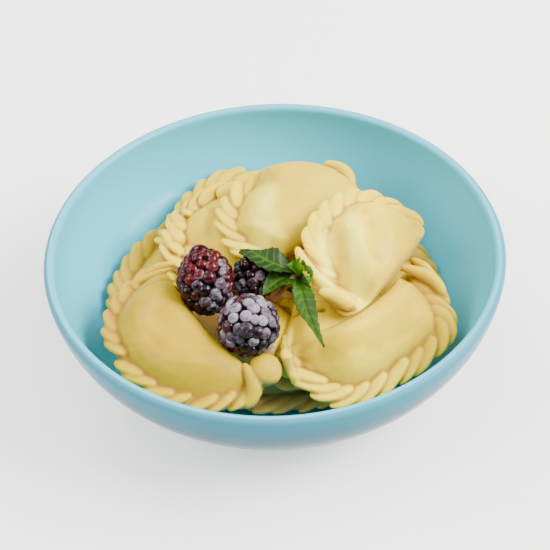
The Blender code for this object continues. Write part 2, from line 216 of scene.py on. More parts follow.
# Colours within the finishes, from 0 to 255 on the screen. A user changes the main colours.
GLAZE_CLOUD = (94, 192, 210)
GLAZE_THIN = (120, 180, 200)
GLAZE_FLECK = (112, 158, 172)
# Painted shade on the dough where a dumpling lies low or under the berries.
DOUGH_PAINTED_SHADE = (186, 138, 84)
# Painted shade where the dough looks down.
DOUGH_PAINTED_UNDER_SHADE = (168, 128, 76)
# The colour of a painted highlight on streaks of fat.
DOUGH_HIGHLIGHT_PAINT = (255, 236, 84)
DOUGH_SPECK = (176, 150, 84)
# Painted shade in the gaps between drupelets.
DRUPELET_GAP_SHADE = (10, 4, 8)
FROST_SHADE = (54, 36, 50)
LEAF_MOTTLE = (44, 86, 10)
LEAF_VEIN = (84, 116, 26)
STALK_COLOUR = (150, 110, 76)
TABLE_SHADE = (236, 233, 228)

# The table, the camera, in degrees and millimetres of lens, and the room's faint light.
TABLE_HALF = 3
CAMERA_ELEVATION = 43.17
CAMERA_DISTANCE = 450 * MM
CAMERA_TARGET = Vector((-0.09, -19.467, 54)) * MM
CAMERA_ROLL = -2.31
CAMERA_LENS = 75.23
CAMERA_SENSOR = 36
LIGHT_TARGET = Vector((0, 0, 0.03))
ROOM_COLOUR = (0.92, 0.96, 1)
ROOM_STRENGTH = 0.15


# ---------------------------------------------------------------- tables of pieces and lights


class Dumpling(NamedTuple):
    """Where a dumpling lies, as in the CAD source, and what is its own about it.

    x, y and z give the middle of its fold, on its underside. It faces the way that its braid bulges.
    Its tilt lowers the braid, and its roll lowers the end on the right of the way that it faces.
    Its bow curves the fold, its sag lowers both ends, and a larger power makes the ends squarer.
    """

    name: str
    x: float
    y: float
    z: float
    facing: float
    tilt: float = 0
    roll: float = 0
    length: float = 77
    depth: float = 38.5
    bow: float = 0
    sag: float = 3
    power: float = 2.5
    knob: float = 0
    plump: float = 1
    band: float = 0.82
    right: float = 1
    bare: float = 0


# From the bottom of the bowl upwards.
PILE = (
    Dumpling("pierogi_low_back", 20, 22, 9, 62, tilt=-14, sag=-1),
    Dumpling("pierogi_low_front", 2, -17, 9, -88, tilt=-7, sag=-1, power=2.3),
    Dumpling("pierogi_low_right", 30, 3, 11, 5, tilt=-13, sag=0, power=2.3),
    Dumpling("pierogi_left", -28, 7, 13, 148, tilt=-17, sag=-1, power=2.8),
    Dumpling("pierogi_back_left", -8, 33, 17, 155, tilt=-15, roll=-4, sag=0, power=2.8),
    Dumpling("pierogi_under_mint", 16, -3, 26, 92, length=60, depth=36),
    Dumpling("pierogi_under_berries", -22, -35, 26, 50, tilt=-2, length=66, plump=0.95),
    Dumpling("pierogi_centre", 6, -19, 31, -16, tilt=8, roll=12, length=62, bare=1),
    Dumpling("pierogi_middle_left", -8, 18, 31, 172, length=66, depth=37, power=2.8, plump=0.95),
    Dumpling(
        "pierogi_front_left", -23.5, -29.5, 40.5, 213, tilt=2, roll=-4,
        length=76, depth=41, bow=7, sag=5, power=2.1, knob=3, plump=0.92, band=0.6,
    ),
    Dumpling(
        "pierogi_front_right", 25.5, -22.7, 38, -56, tilt=11, roll=6,
        length=70, depth=39, bow=8.5, sag=1, power=3.4, band=0.95,
    ),
    Dumpling(
        "pierogi_back", 16, 20, 45, 141, tilt=-1, length=71, depth=36.5, bow=-12, sag=1, power=2.7,
        band=0.74, right=0.87, bare=0.46,
    ),
    Dumpling(
        "pierogi_right", 47, -11, 44, 146, tilt=-26, length=62, depth=38, sag=4, power=2.6,
        band=0.88, right=0.97,
    ),
)


class Lump(NamedTuple):
    """A swelling of a dumpling, or a dent in it, round a line in its own plan, in millimetres."""

    start: tuple
    end: tuple
    radius: float
    rise: float


LUMPS = {
    "pierogi_front_left": (Lump((25, 20), (23, 0), 1.6, -0.7),),
    "pierogi_front_right": (Lump((27, 5), (29, 12), 1.6, -0.9),),
    "pierogi_back": (
        Lump((-24.5, 25), (-24.5, 4), 3, 1.3),
        Lump((22.5, 14), (23.5, 3), 1.4, -1.6),
    ),
    "pierogi_right": (
        Lump((-11, 34), (-26, 21), 4.5, 1.2),
        Lump((-5, 28), (-19, 8), 5, 1.5),
        Lump((-10, 30), (-21, 17), 3.4, -1.5),
        Lump((4, 24), (-9, 9), 4.5, -1.1),
    ),
    "pierogi_centre": (Lump((3, 12), (6, -2), 1.2, -1.8),),
}


class Pool(NamedTuple):
    """A film along a line in a dumpling's own plan: its half width in millimetres and its strength."""

    points: tuple
    radius: float
    strength: float


# Melted butter, and then painted highlights: pale, glossier streaks where fat gleams.
POOLS = {
    "pierogi_front_right": (
        Pool(((19, 10), (12, 15), (4, 18), (-4, 20), (-10, 18)), 5, 1),
        Pool(((-15, 15), (-16, 16)), 3.6, 1),
    ),
    "pierogi_centre": (Pool(((-4, 18), (2, 12), (4, 4)), 8, 0.2),),
    "pierogi_right": (Pool(((-11.3, 26.6), (-17, 22), (-23, 17.2)), 3, 0.35),),
}
PAINTED_HIGHLIGHTS = {
    "pierogi_back": (
        Pool(((-8.9, 22.9), (-15.8, 18.1), (-27, 8)), 9, 0.8),
        Pool(((-33, 10), (-31.3, -2)), 7, 0.5),
    ),
    "pierogi_right": (
        Pool(((-1.8, 29.1), (-9, 23), (-16.2, 16.9), (-28, 3.4)), 5.6, 1),
        Pool(((-11.6, 34.1), (-20, 27), (-27.9, 20.7)), 4.6, 0.9),
    ),
}


class Strand(NamedTuple):
    """A strand of dough on its own: its points and radii, in a dumpling's own plan, in millimetres."""

    points: tuple
    radii: tuple


EXTRA_STRANDS = {
    "pierogi_front_left": (
        Strand(
            ((-26, 0.5, 8), (-29.8, 2, 8), (-34.5, 3.6, 6.2), (-38, 8.5, 3), (-36.5, 13, 2.5)),
            (0.8, 1.9, 2.8, 2.9, 1.6),
        ),
        Strand(((34.5, 18, 4), (31, 9, 7), (28.5, -1.5, 8)), (0.8, 1.7, 0.8)),
        Strand(((36.5, 13, 3), (36, 4, 5), (32, -4, 6)), (0.8, 2.1, 1)),
    ),
    "pierogi_front_right": (
        Strand(
            ((-24.5, -5, 7.2), (-28, 2, 8.6), (-32, 9, 8), (-34.7, 15, 6.5), (-33.4, 21, 4.5)),
            (0.6, 1.9, 2.7, 2.8, 1.6),
        ),
        Strand(((-33.5, -1, 4.5), (-36, 6, 4.5), (-37, 13, 3)), (1.2, 2.3, 1.2)),
        Strand(((29, -1, 8), (32.5, 4, 6.5), (35, 10, 4.5), (33, 18, 3.5)), (0.8, 2, 2.3, 1.2)),
    ),
    "pierogi_back": (
        Strand(((28.5, 17, 4.5), (28.7, 10, 6.5), (26.5, 5, 7), (20, 2.5, 7)), (1.6, 2.8, 3, 2)),
    ),
    "pierogi_right": (
        Strand(((-22, 36, 3.5), (-27.5, 29, 5.5), (-29, 21, 6), (-27, 12, 6)), (1.2, 2.6, 2.8, 1)),
        Strand(((-32.4, 18.5, 5.5), (-30, 14.5, 6.5), (-28.7, 8.8, 7), (-29.5, 3, 6)), (1.4, 3, 3.5, 1.8)),
    ),
}


class Look(NamedTuple):
    """How pale a dumpling's dough is painted, as painted light where it is lit more brightly, how oily it
    is, and how deep its painted shade is, each from 0 to 1.
    """

    pale: float = 0.25
    oily: float = 0
    deep: float = 0


# Painted light and shade per dumpling: a brightly lit one is paler, and one lying low or under the berries
# gets painted shade.
LOOKS = {
    "pierogi_front_left": Look(0.02, 0.02),
    "pierogi_front_right": Look(0.66, 0.1),
    "pierogi_back": Look(0.5, 0.5),
    "pierogi_right": Look(0.8, 0.9),
    "pierogi_middle_left": Look(0.46, 0.05),
    "pierogi_back_left": Look(0.38, 0.05),
    "pierogi_left": Look(0.15),
    "pierogi_centre": Look(1, 0.3),
    "pierogi_low_front": Look(0, deep=0.7),
    "pierogi_low_right": Look(0.1, deep=0.2),
    "pierogi_under_berries": Look(1, 0.2, 0.8),
    "pierogi_under_mint": Look(1, 0.2),
}


class Berry(NamedTuple):
    """A berry: its half sizes, the way its tip points, its drupelets, and its frost and redness.

    The frost lies most on the side that frost_way points to, and the red on the side of red_way.
    """

    node: str
    radius: float
    half_length: float
    heading: float
    climb: float
    drupelets: int
    frost: float
    frost_way: tuple
    red: float
    red_way: tuple


BERRIES = (
    Berry("berry_back", 8.3, 9.4, 60, 25, 62, 0.04, (-0.3, -0.6, 0.4), 0.08, (0.3, -0.3, 0.2)),
    Berry("berry_left", 10, 12.4, 100, 40, 78, 0.1, (0.85, -0.55, -0.1), 0.4, (-0.35, 0.35, 0.8)),
    Berry("berry_front", 11.2, 10.6, -90, 45, 84, 0.68, (0.1, 0.2, 0.5), 0.12, (-0.8, 0, 0)),
)


class Leaf(NamedTuple):
    """A leaf from its base over its middle to its tip: its greatest width, its teeth and its youth."""

    base: tuple
    middle: tuple
    tip: tuple
    width: float
    teeth: int
    young: float


LEAVES = (
    Leaf((9.5, -18.5, 53.5), (-3, -16.5, 58.5), (-13.5, -5.5, 54), 11.5, 8, 0.1),
    Leaf((9.5, -19, 52), (2, -22, 53.5), (-5, -27.5, 52), 11, 6, 0.4),
    Leaf((10.5, -19.5, 52.5), (10.6, -34, 53), (16.6, -53, 50), 8.2, 9, 0.5),
    Leaf((8.4, -22, 55.5), (8.6, -21.5, 60), (8.9, -21.2, 63.5), 5, 4, 0.9),
    Leaf((9.2, -21.5, 56), (6.6, -20.5, 59), (4.6, -19.6, 59.5), 4, 4, 1),
    Leaf((10.5, -22, 55), (12.4, -24.5, 57.5), (12.4, -27.5, 57), 4, 4, 1),
)


class Light(NamedTuple):
    """A soft light: where it hangs and how large it is, in metres, and its power in watts."""

    name: str
    place: tuple
    size: tuple
    power: float


LIGHTS = (
    Light("back_right", (0.76, 0.55, 0.97), (0.6, 0.55), 9),
    Light("back_left", (-0.55, 0.88, 0.87), (0.6, 0.5), 12),
    Light("left", (-1.05, -0.18, 0.83), (1, 0.8), 21),
    Light("right", (1, -0.14, 0.92), (0.8, 0.7), 54),
    Light("sky", (-0.1, -0.25, 1.5), (1.6, 1.3), 16),
)


# ---------------------------------------------------------------- numbers


def smooth_max(a, b, width):
    """The larger of two heights, with a soft turn between them."""
    return (a + b + np.sqrt((a - b) ** 2 + width**2)) / 2


def smooth_min(a, b, width):
    """The smaller of two heights, with a soft turn between them."""
    return (a + b - np.sqrt((a - b) ** 2 + width**2)) / 2


def ease(value, start, end):
    """0 before the start and 1 after the end, with a smooth way between."""
    t = np.clip((value - start) / (end - start), 0, 1)
    return t * t * (3 - 2 * t)


def quarter(value):
    """The height of a quarter circle, from 0 at 0 to 1 from 1 onwards."""
    return np.sqrt(1 - (1 - np.clip(value, 0, 1)) ** 2)


def soft_table(distances, heights, width):
    """A table of heights at even distances, with its corners rounded off."""
    step = 0.1 * MM
    even = np.arange(-3 * width, distances[-1] + 3 * width, step)
    values = np.interp(even, distances, heights)
    reach = round(3 * width / step)
    weights = np.exp(-((np.arange(-reach, reach + 1) * step / width) ** 2) / 2)
    return even, np.convolve(np.pad(values, reach, mode="edge"), weights / weights.sum(), "valid")


BRAID_TABLE = soft_table(BRAID_DISTANCE, BRAID_HEIGHT, BRAID_ROUNDING)


def between(places, known, rows):
    """Rows of numbers at places between the known ones."""
    return np.stack([np.interp(places, known, column) for column in rows.T], 1)


def unit(rows):
    """Vectors in rows, each brought to length 1."""
    return rows / np.linalg.norm(rows, axis=1)[:, None]


def evenly(line):
    """The points of an edge at even steps, and the arc length to each."""
    lengths = np.concatenate([[0], np.cumsum(np.hypot(*np.diff(line, axis=0).T))])
    places = np.linspace(0, lengths[-1], max(2, round(lengths[-1] / EDGE_STEP)))
    return between(places, lengths, line), places


def headings(line):
    """The unit tangents of an edge at its points."""
    tangent = np.gradient(line, axis=0)
    return tangent / np.hypot(*tangent.T)[:, None]


def measure(points, line):
    """How far points are from an even edge, and how far along it the nearest place is."""
    tangent = headings(line)
    nearest = np.zeros(len(points), int)
    chunk = 4000
    for start in range(0, len(points), chunk):
        part = points[start : start + chunk]
        gap = (part[:, None, 0] - line[None, :, 0]) ** 2 + (part[:, None, 1] - line[None, :, 1]) ** 2
        nearest[start : start + chunk] = gap.argmin(1)
    away = points - line[nearest]
    ahead = (away * tangent[nearest]).sum(1)
    beside = away[:, 0] * tangent[nearest, 1] - away[:, 1] * tangent[nearest, 0]
    step = EDGE_STEP / 2
    over = np.maximum(np.abs(ahead) - step, 0)
    return np.hypot(beside, over), nearest * EDGE_STEP + np.clip(ahead, -step, step)


def near_line(x, y, start, end):
    """How far places are from a short straight line."""
    a, b = np.array(start) * MM, np.array(end) * MM
    way = b - a
    share = np.clip(((x - a[0]) * way[0] + (y - a[1]) * way[1]) / (way @ way), 0, 1)
    return np.hypot(x - a[0] - share * way[0], y - a[1] - share * way[1])


def unevenness(x, y, size, seed):
    """A smooth uneven field between about -1 and 1, of hollows and swellings of a size."""
    rng = np.random.default_rng(seed)
    total = np.zeros_like(x)
    for _ in range(WAVES):
        heading, phase = rng.uniform(0, 2 * math.pi, 2)
        wave = size * rng.uniform(0.7, 1.6)
        total += np.sin((x * math.cos(heading) + y * math.sin(heading)) * 2 * math.pi / wave + phase)
    return total / (WAVES / 2)


# ---------------------------------------------------------------- meshes


def mesh_of(skin, name):
    """The smooth mesh of a bmesh, which is freed."""
    mesh = bpy.data.meshes.new(name)
    skin.to_mesh(mesh)
    skin.free()
    mesh.shade_smooth()
    return mesh


def vectors(mesh, kind):
    """The places ("co") or the normals ("normal") of a mesh's vertices, in rows."""
    numbers = np.zeros(len(mesh.vertices) * 3)
    mesh.vertices.foreach_get(kind, numbers)
    return numbers.reshape(-1, 3)


def store(mesh, name, values):
    """Keeps a number for each vertex of a mesh."""
    layer = mesh.attributes.new(name, "FLOAT", "POINT")
    layer.data.foreach_set("value", np.asarray(values, np.float32))


def put(mesh, material, node):
    """The finished piece of a mesh: it rides on the body and stands for its CAD node."""
    piece = bpy.data.objects.new(mesh.name, mesh)
    bpy.context.scene.collection.objects.link(piece)
    mesh.materials.append(material)
    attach(piece, BODY)
    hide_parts(node)
    return piece


def joined(meshes, name):
    """One mesh of several, which are removed."""
    skin = bmesh.new()
    for mesh in meshes:
        skin.from_mesh(mesh)
        bpy.data.meshes.remove(mesh)
    return mesh_of(skin, name)


def number_layers(skin, names):
    """New layers of a bmesh, each for a number at every vertex."""
    return [skin.verts.layers.float.new(name) for name in names]


def turned_to(way):
    """The turn that brings +Z round to a way."""
    return way.to_track_quat("Z", "Y").to_matrix().to_4x4()


# ---------------------------------------------------------------- what lies on what


class GroundMap:
    """The height of the highest surface so far, on a square grid over the bowl."""

    def __init__(self):
        self.ticks = np.arange(-MAP_REACH, MAP_REACH + MAP_STEP / 2, MAP_STEP)
        count = len(self.ticks)
        self.height = np.zeros((count, count))
        self.soft = self.height

    def add(self, mesh):
        """Takes in the top of a piece that has been placed."""
        skin = bmesh.new()
        skin.from_mesh(mesh)
        tree = BVHTree.FromBMesh(skin)
        skin.free()
        corners = vectors(mesh, "co")
        (low_x, low_y, _), (high_x, high_y, _) = corners.min(0), corners.max(0)
        down = Vector((0, 0, -1))
        for i in np.flatnonzero((self.ticks >= low_x) & (self.ticks <= high_x)):
            for j in np.flatnonzero((self.ticks >= low_y) & (self.ticks <= high_y)):
                hit = tree.ray_cast(Vector((self.ticks[i], self.ticks[j], SKY)), down)[0]
                if hit is not None:
                    self.height[i, j] = max(self.height[i, j], hit.z)
        self.soften()

    def soften(self):
        """Widens each high place a little, with a slope that grows steeper away from it."""
        reach = round(SOFT_REACH / MAP_STEP)
        soft = self.height.copy()
        for i in range(-reach, reach + 1):
            for j in range(-reach, reach + 1):
                away = math.hypot(i, j) * MAP_STEP
                if away <= SOFT_REACH:
                    drop = away**2 / SOFT_REACH
                    soft = np.maximum(soft, np.roll(self.height, (i, j), (0, 1)) - drop)
        self.soft = soft

    def sample(self, grid, x, y):
        """A grid's value at places between its points."""
        a = np.clip((x - self.ticks[0]) / MAP_STEP, 0, len(self.ticks) - 1.001)
        b = np.clip((y - self.ticks[0]) / MAP_STEP, 0, len(self.ticks) - 1.001)
        i, j = a.astype(int), b.astype(int)
        p, q = a - i, b - j
        low = grid[i, j] * (1 - q) + grid[i, j + 1] * q
        high = grid[i + 1, j] * (1 - q) + grid[i + 1, j + 1] * q
        return low * (1 - p) + high * p


def lie(plane, low, high, ground):
    """The heights of the underside and the top of a soft piece: it thins first, and then it rises."""
    under = smooth_max(plane + low, ground + GAP, LIE_ROUNDING)
    thick = high - low
    lift = under - plane - low
    top = plane + high + smooth_max(0, lift - SQUASH * thick, RISE_ROUNDING) - TOP_SINK
    return under, np.maximum(top, under + LEAST_HEIGHT * thick)


GROUND = GroundMap()


def posed(dumpling, x, y, height):
    """Points of a dumpling's own plan, bent and turned to lie in the bowl."""
    half = dumpling.length * MM / 2
    depth = dumpling.depth * MM
    along = np.clip(x / half, -BEND_LIMIT, BEND_LIMIT)
    bend = dumpling.bow * MM * (1 - along**2) * np.clip(1 - y / depth, 0, 1)
    drop = dumpling.sag * MM * along**2
    local = np.stack([x, y + bend, height - drop], axis=1)
    turn = (
        Matrix.Rotation(math.radians(dumpling.facing - 90), 3, "Z")
        @ Matrix.Rotation(math.radians(dumpling.roll), 3, "Y")
        @ Matrix.Rotation(math.radians(-dumpling.tilt), 3, "X")
    )
    return local @ np.array(turn).T + np.array((dumpling.x, dumpling.y, dumpling.z)) * MM


def raised(dumpling, points):
    """Points of a dumpling's own plan, posed, and lifted by as much as the ground there asks."""
    flat = posed(dumpling, points[:, 0], points[:, 1], np.zeros(len(points)))
    solid = posed(dumpling, *points.T)
    ground = GROUND.sample(GROUND.soft, solid[:, 0], solid[:, 1])
    solid[:, 2] += smooth_max(0, ground + GAP - flat[:, 2], LIE_ROUNDING)
    return solid


# ---------------------------------------------------------------- the bowl


def wall_points(rim_radius, foot_radius, top, bottom):
    """The curve of a wall from its rim down to its foot, as (radius, height)."""
    points = []
    for i in range(WALL_POINTS + 1):
        turn = math.pi / 2 * i / WALL_POINTS
        radius = foot_radius + (rim_radius - foot_radius) * math.cos(turn) ** (2 / WALL_CURVE)
        height = top + (bottom - top) * math.sin(turn) ** (2 / WALL_CURVE)
        points.append((radius, height))
    return points


def bowl_profile():
    """The bowl's section, from the middle of its floor up, over the rim and down to the foot."""
    floor = FOOT_HEIGHT + WALL
    lip = WALL / 2
    shoulder = RIM_HEIGHT - lip
    inner = wall_points(RIM_RADIUS - WALL, FOOT_RADIUS - WALL, shoulder, floor)
    outer = wall_points(RIM_RADIUS, FOOT_RADIUS, shoulder, FOOT_HEIGHT)
    rim = []
    for i in range(1, LIP_POINTS):
        turn = math.pi * i / LIP_POINTS
        rim.append((RIM_RADIUS - lip - lip * math.cos(turn), shoulder + lip * math.sin(turn)))
    out, within = FOOT_RADIUS - FOOT_HEIGHT / 3, FOOT_RADIUS - FOOT_WIDTH
    foot = [
        (out, FOOT_EDGE),
        (out - FOOT_EDGE * 0.3, FOOT_EDGE * 0.3),
        (out - FOOT_EDGE, 0),
        (within + FOOT_EDGE * 0.5, 0),
        (within - FOOT_EDGE * 0.3, FOOT_EDGE * 0.3),
        (within - FOOT_RECESS, FOOT_RECESS),
        (0, FOOT_RECESS),
    ]
    return [(0, floor), *reversed(inner), *rim, *outer, *foot]


def turned_bowl():
    """The bowl's mesh: its section, spun once round."""
    skin = bmesh.new()
    verts = [skin.verts.new((radius, 0, height)) for radius, height in bowl_profile()]
    edges = [skin.edges.new(pair) for pair in zip(verts, verts[1:])]
    bmesh.ops.spin(
        skin, geom=verts + edges, cent=(0, 0, 0), axis=(0, 0, 1), dvec=(0, 0, 0),
        angle=2 * math.pi, steps=BOWL_STEPS, use_merge=True,
    )
    bmesh.ops.remove_doubles(skin, verts=skin.verts, dist=MERGE_DISTANCE)
    bmesh.ops.recalc_face_normals(skin, faces=skin.faces)
    mesh = mesh_of(skin, "glazed_bowl")
    x, y, _ = vectors(mesh, "co").T
    out_x, out_y, up = vectors(mesh, "normal").T
    outwards = (out_x * x + out_y * y) / np.maximum(np.hypot(x, y), MM)
    store(mesh, "outside", (outwards > 0.3) | (up < 0))
    return mesh


# ---------------------------------------------------------------- dumplings


def ball_of_dough(columns, rings):
    """The fine ball that a dumpling or a strand is drawn out of: a grid, rolled up and closed."""
    skin = bmesh.new()
    bmesh.ops.create_grid(skin, x_segments=columns, y_segments=rings, size=0.5)
    for vertex in skin.verts:
        turn, fall = 2 * math.pi * (vertex.co.x + 0.5), math.pi * (0.5 - vertex.co.y)
        ring = math.sin(fall)
        vertex.co = (ring * math.cos(turn), ring * math.sin(turn), math.cos(fall))
    bmesh.ops.remove_doubles(skin, verts=skin.verts, dist=MERGE_DISTANCE)
    bmesh.ops.recalc_face_normals(skin, faces=skin.faces)
    return mesh_of(skin, "ball_of_dough")


class Edge:
    """The outline of a dumpling in its own plan: its braid from right to left, then its fold."""

    def __init__(self, dumpling):
        half = dumpling.length * MM / 2
        turn = np.linspace(0, math.pi, EDGE_TURNS)
        cos, sin = np.cos(turn), np.abs(np.sin(turn))
        power = 2 / dumpling.power
        braid = np.stack([half * np.sign(cos) * np.abs(cos) ** power, dumpling.depth * MM * sin**power], 1)
        braid[:, 0] *= np.where(braid[:, 0] > 0, dumpling.right, 1)
        braid, _ = evenly(braid)
        fold, _ = evenly(np.array([(-half, 0), (half * dumpling.right, 0)]))
        loop = np.concatenate([braid, fold[1:-1]])
        reach = round(3 * EDGE_ROUNDING / EDGE_STEP)
        rounded = np.zeros_like(loop)
        total = 0
        for i in range(-reach, reach + 1):
            weight = math.exp(-((i * EDGE_STEP / EDGE_ROUNDING) ** 2) / 2)
            rounded += weight * np.roll(loop, i, axis=0)
            total += weight
        rounded /= total
        self.braid, self.along = evenly(rounded[: len(braid)])
        self.fold, self.fold_along = evenly(np.concatenate([rounded[len(braid) - 1 :], rounded[:1]]))

    def at(self, share):
        """The places on the edge where the columns start, for shares of the way round it."""
        braid = np.clip(share / BRAID_COLUMNS, 0, 1) * self.along[-1]
        fold = np.clip((share - BRAID_COLUMNS) / (1 - BRAID_COLUMNS), 0, 1) * self.fold_along[-1]
        on_braid = between(braid, self.along, self.braid)
        on_fold = between(fold, self.fold_along, self.fold)
        return np.where((share < BRAID_COLUMNS)[:, None], on_braid, on_fold)


def strand_count(length, pitch):
    """The number of strands in a braid."""
    return max(FEWEST_STRANDS, round(length / pitch))


def braid_relief(seed, along, distance, length, pitch):
    """How a strand stands at a place of the braid: its ridge, its outer lobe, and its plain section."""
    rng = np.random.default_rng(seed)
    count = strand_count(length, pitch)
    strength = rng.uniform(0.75, 1.25, count + SPARE_STRANDS)
    shift = rng.uniform(-0.14, 0.14, count + SPARE_STRANDS)
    phase = (along - SLANT * distance) / length * count + STRANDS_BEFORE
    wander = 0.16 * np.sin(along / (23 * MM) + seed) + 0.1 * np.sin(along / (9.1 * MM) + 2 * seed)
    phase = np.clip(phase + wander, 0, count + SPARE_STRANDS - 1.001)
    index = phase.astype(int)
    part = phase - index
    start = shift[index]
    end = 1 + shift[index + 1]
    part = np.clip((part - start) / (end - start), 0, 1)
    part = np.where(phase - index < start, 1, part)
    section = np.sqrt(np.clip(1 - (2 * part**0.8 - 1) ** 2, 0, 1))
    falling = np.cos(math.pi / 2 * (part - LOBE_PEAK) / (1 - LOBE_PEAK)) ** 0.8
    lobe = np.where(part < LOBE_PEAK, quarter(part / LOBE_PEAK), falling)
    return section * strength[index], lobe * strength[index], section


class Braid(NamedTuple):
    """What the braid does at points of a plan: every value holds a number for each point."""

    distance: np.ndarray
    from_fold: np.ndarray
    strength: np.ndarray
    ends: np.ndarray
    ridge: np.ndarray
    lobe: np.ndarray
    section: np.ndarray


def braid_at(dumpling, edge, plan, seed, pitch):
    """How far points of a plan are from the edge, and how the strands stand there."""
    length = edge.along[-1]
    distance, along = measure(plan, edge.braid)
    from_fold, _ = measure(plan, edge.fold)
    bare_end = dumpling.bare * length
    braided = ease(along, bare_end + BARE_FADE[0], bare_end + BARE_FADE[1]) if dumpling.bare else 1
    band = dumpling.band * (BARE_BAND + (1 - BARE_BAND) * braided)
    narrow = distance / band
    distance = np.where(narrow < GROOVE, narrow, distance - GROOVE * band + GROOVE)
    ends = ease(along, 0, END_FADE) * ease(length - along, 0, END_FADE)
    strength = (1 - ease(distance, *STRAND_FADE)) * (0.35 + 0.65 * ends)
    strength *= 1 - ease(distance - from_fold, 0, FOLD_FADE) * 0.8
    return Braid(distance, from_fold, strength, ends, *braid_relief(seed, along, distance, length, pitch))


def skin_heights(dumpling, braid, x, y, seed):
    """The heights of a dumpling's underside and top over its own plan, before it is laid down."""
    distance, from_fold, strength = braid.distance, braid.from_fold, braid.strength
    risen = quarter(distance / STRAND_EDGE)
    braid_side = np.interp(distance, *BRAID_TABLE)
    fold_side = FOLD_EDGE + (FULL_HEIGHT - FOLD_EDGE) * quarter(from_fold / FOLD_REACH)
    high = smooth_min(braid_side, fold_side, 4 * MM) + TOP_RISE
    high = high * quarter(distance / LIP_REACH * 0.5 + 0.5)

    # The shallow relief of the strands, the lines that they draw in the dough, and its own unevenness.
    relief = RELIEF * (braid.ridge - 0.62) * strength * risen
    pull = PULL * (braid.section - 0.6) * ease(distance, 8 * MM, 10 * MM)
    pull *= (1 - ease(distance, 11 * MM, 18 * MM)) * braid.ends
    body = ease(np.minimum(distance - 6 * MM, from_fold), 1 * MM, 9 * MM)
    swell = body * (SWELL * unevenness(x, y, 31 * MM, seed + SWELL_SEED))
    swell += body * 0.2 * MM * unevenness(x, y, 11 * MM, seed + SMALL_SWELL_SEED)
    high = high * dumpling.plump + relief + pull + swell
    for lump in LUMPS.get(dumpling.name, ()):
        near = near_line(x, y, lump.start, lump.end) / (lump.radius * MM)
        high = high + lump.rise * MM * np.exp(-(near**2) * 1.4)

    fold_low = FOLD_EDGE * (1 - quarter(from_fold / FOLD_UNDERSIDE))
    braid_low = LIP * (1 - quarter(distance / LIP_REACH))
    low = smooth_max(fold_low, braid_low, 0.2 * MM)
    low = low + UNDER_STRANDS * (1 - braid.ridge) * strength * risen
    on_edge = np.minimum(distance, from_fold) < 1e-6
    middle = (high + low) / 2
    return np.where(on_edge, middle, low), np.where(on_edge, middle, high)


def plain_skin(ball_mesh, dumpling, edge, seed, pitch):
    """A dumpling's skin without separate strands: the ball's points, spread over the plan and laid."""
    mesh = ball_mesh.copy()
    ball = vectors(mesh, "co")
    share = np.arctan2(ball[:, 1], ball[:, 0]) / (2 * math.pi) % 1
    level = np.arccos(np.clip(ball[:, 2], -1, 1)) / math.pi
    on_top = level < TOP_SHARE
    inner = np.where(on_top, level / TOP_SHARE, (1 - level) / (1 - TOP_SHARE))

    start = edge.at(share)
    inward = np.array((0, MIDDLE_DEPTH * dumpling.depth * MM)) - start
    reach = np.hypot(*inward.T)
    band = np.minimum(RIM_BAND, RIM_REACH * reach)
    rim = np.clip((1 - inner) / RIM_SHARE, 0, 1) ** RIM_CROWDING * band
    rest = np.clip((1 - RIM_SHARE - inner) / (1 - RIM_SHARE), 0, 1)
    away = np.where(inner > 1 - RIM_SHARE, rim, band + rest * (reach - band))
    plan = start + inward / reach[:, None] * away[:, None]

    # The outer lobes of the strands stand out past the edge.
    braid = braid_at(dumpling, edge, plan, seed, pitch)
    push = (0.4 * (braid.lobe - 0.45) - 0.5) * MM * braid.strength
    push *= 1 - ease(braid.distance, 0, 7.5 * MM)
    push += 0.8 * MM * unevenness(start[:, 0], start[:, 1], 34 * MM, seed) * ease(inner, 0.1, 0.9)
    plan = plan - inward / reach[:, None] * push[:, None]

    x, y = plan.T
    low, high = skin_heights(dumpling, braid, x, y, seed)
    flat = posed(dumpling, x, y, np.zeros(len(x)))
    solid = posed(dumpling, x, y, np.where(on_top, high, low))
    ground = GROUND.sample(GROUND.soft, solid[:, 0], solid[:, 1])
    under, top = lie(flat[:, 2], low, high, ground)
    solid[:, 2] = np.where(on_top, top, under)
    mesh.vertices.foreach_set("co", solid.ravel())
    return mesh


def drawn_out(ball_mesh, path, radii, flat=1, roll=0):
    """A rounded strand: the ball, drawn out along a path, flattened and rolled on its side."""
    mesh = ball_mesh.copy()
    ball = vectors(mesh, "co")
    station = np.arccos(np.clip(ball[:, 2], -1, 1)) / math.pi
    length = np.linalg.norm(np.diff(path, axis=0), axis=1).sum()
    round_off = quarter(station * length / (radii[0] * 1.9))
    round_off = round_off * quarter((1 - station) * length / (radii[-1] * 1.9))
    turn = np.arctan2(ball[:, 1], ball[:, 0])
    places = np.linspace(0, 1, len(path))
    centre = between(station, places, path)
    radius = np.interp(station, places, radii) * round_off
    ahead = unit(between(station, places, np.gradient(path, axis=0)))
    side = unit(np.cross(ahead, (0, 0, 1.0)))
    above = np.cross(side, ahead)
    wide = side * math.cos(roll) + above * math.sin(roll)
    thick = above * math.cos(roll) - side * math.sin(roll)
    across = wide * np.cos(turn)[:, None] + thick * (flat * np.sin(turn))[:, None]
    mesh.vertices.foreach_set("co", (centre + across * radius[:, None]).ravel())
    return mesh


def smooth_path(points, radii):
    """A path with its radii, through a few points, without corners."""
    known = np.column_stack([points, radii])
    steps = np.concatenate([[0], np.cumsum(np.linalg.norm(np.diff(known[:, :3], axis=0), axis=1))])
    line = between(np.linspace(0, steps[-1], PATH_POINTS), steps, known)
    for _ in range(PATH_SOFTENINGS):
        line[1:-1] = (line[:-2] + 2 * line[1:-1] + line[2:]) / 4
    return line[:, :3], line[:, 3]


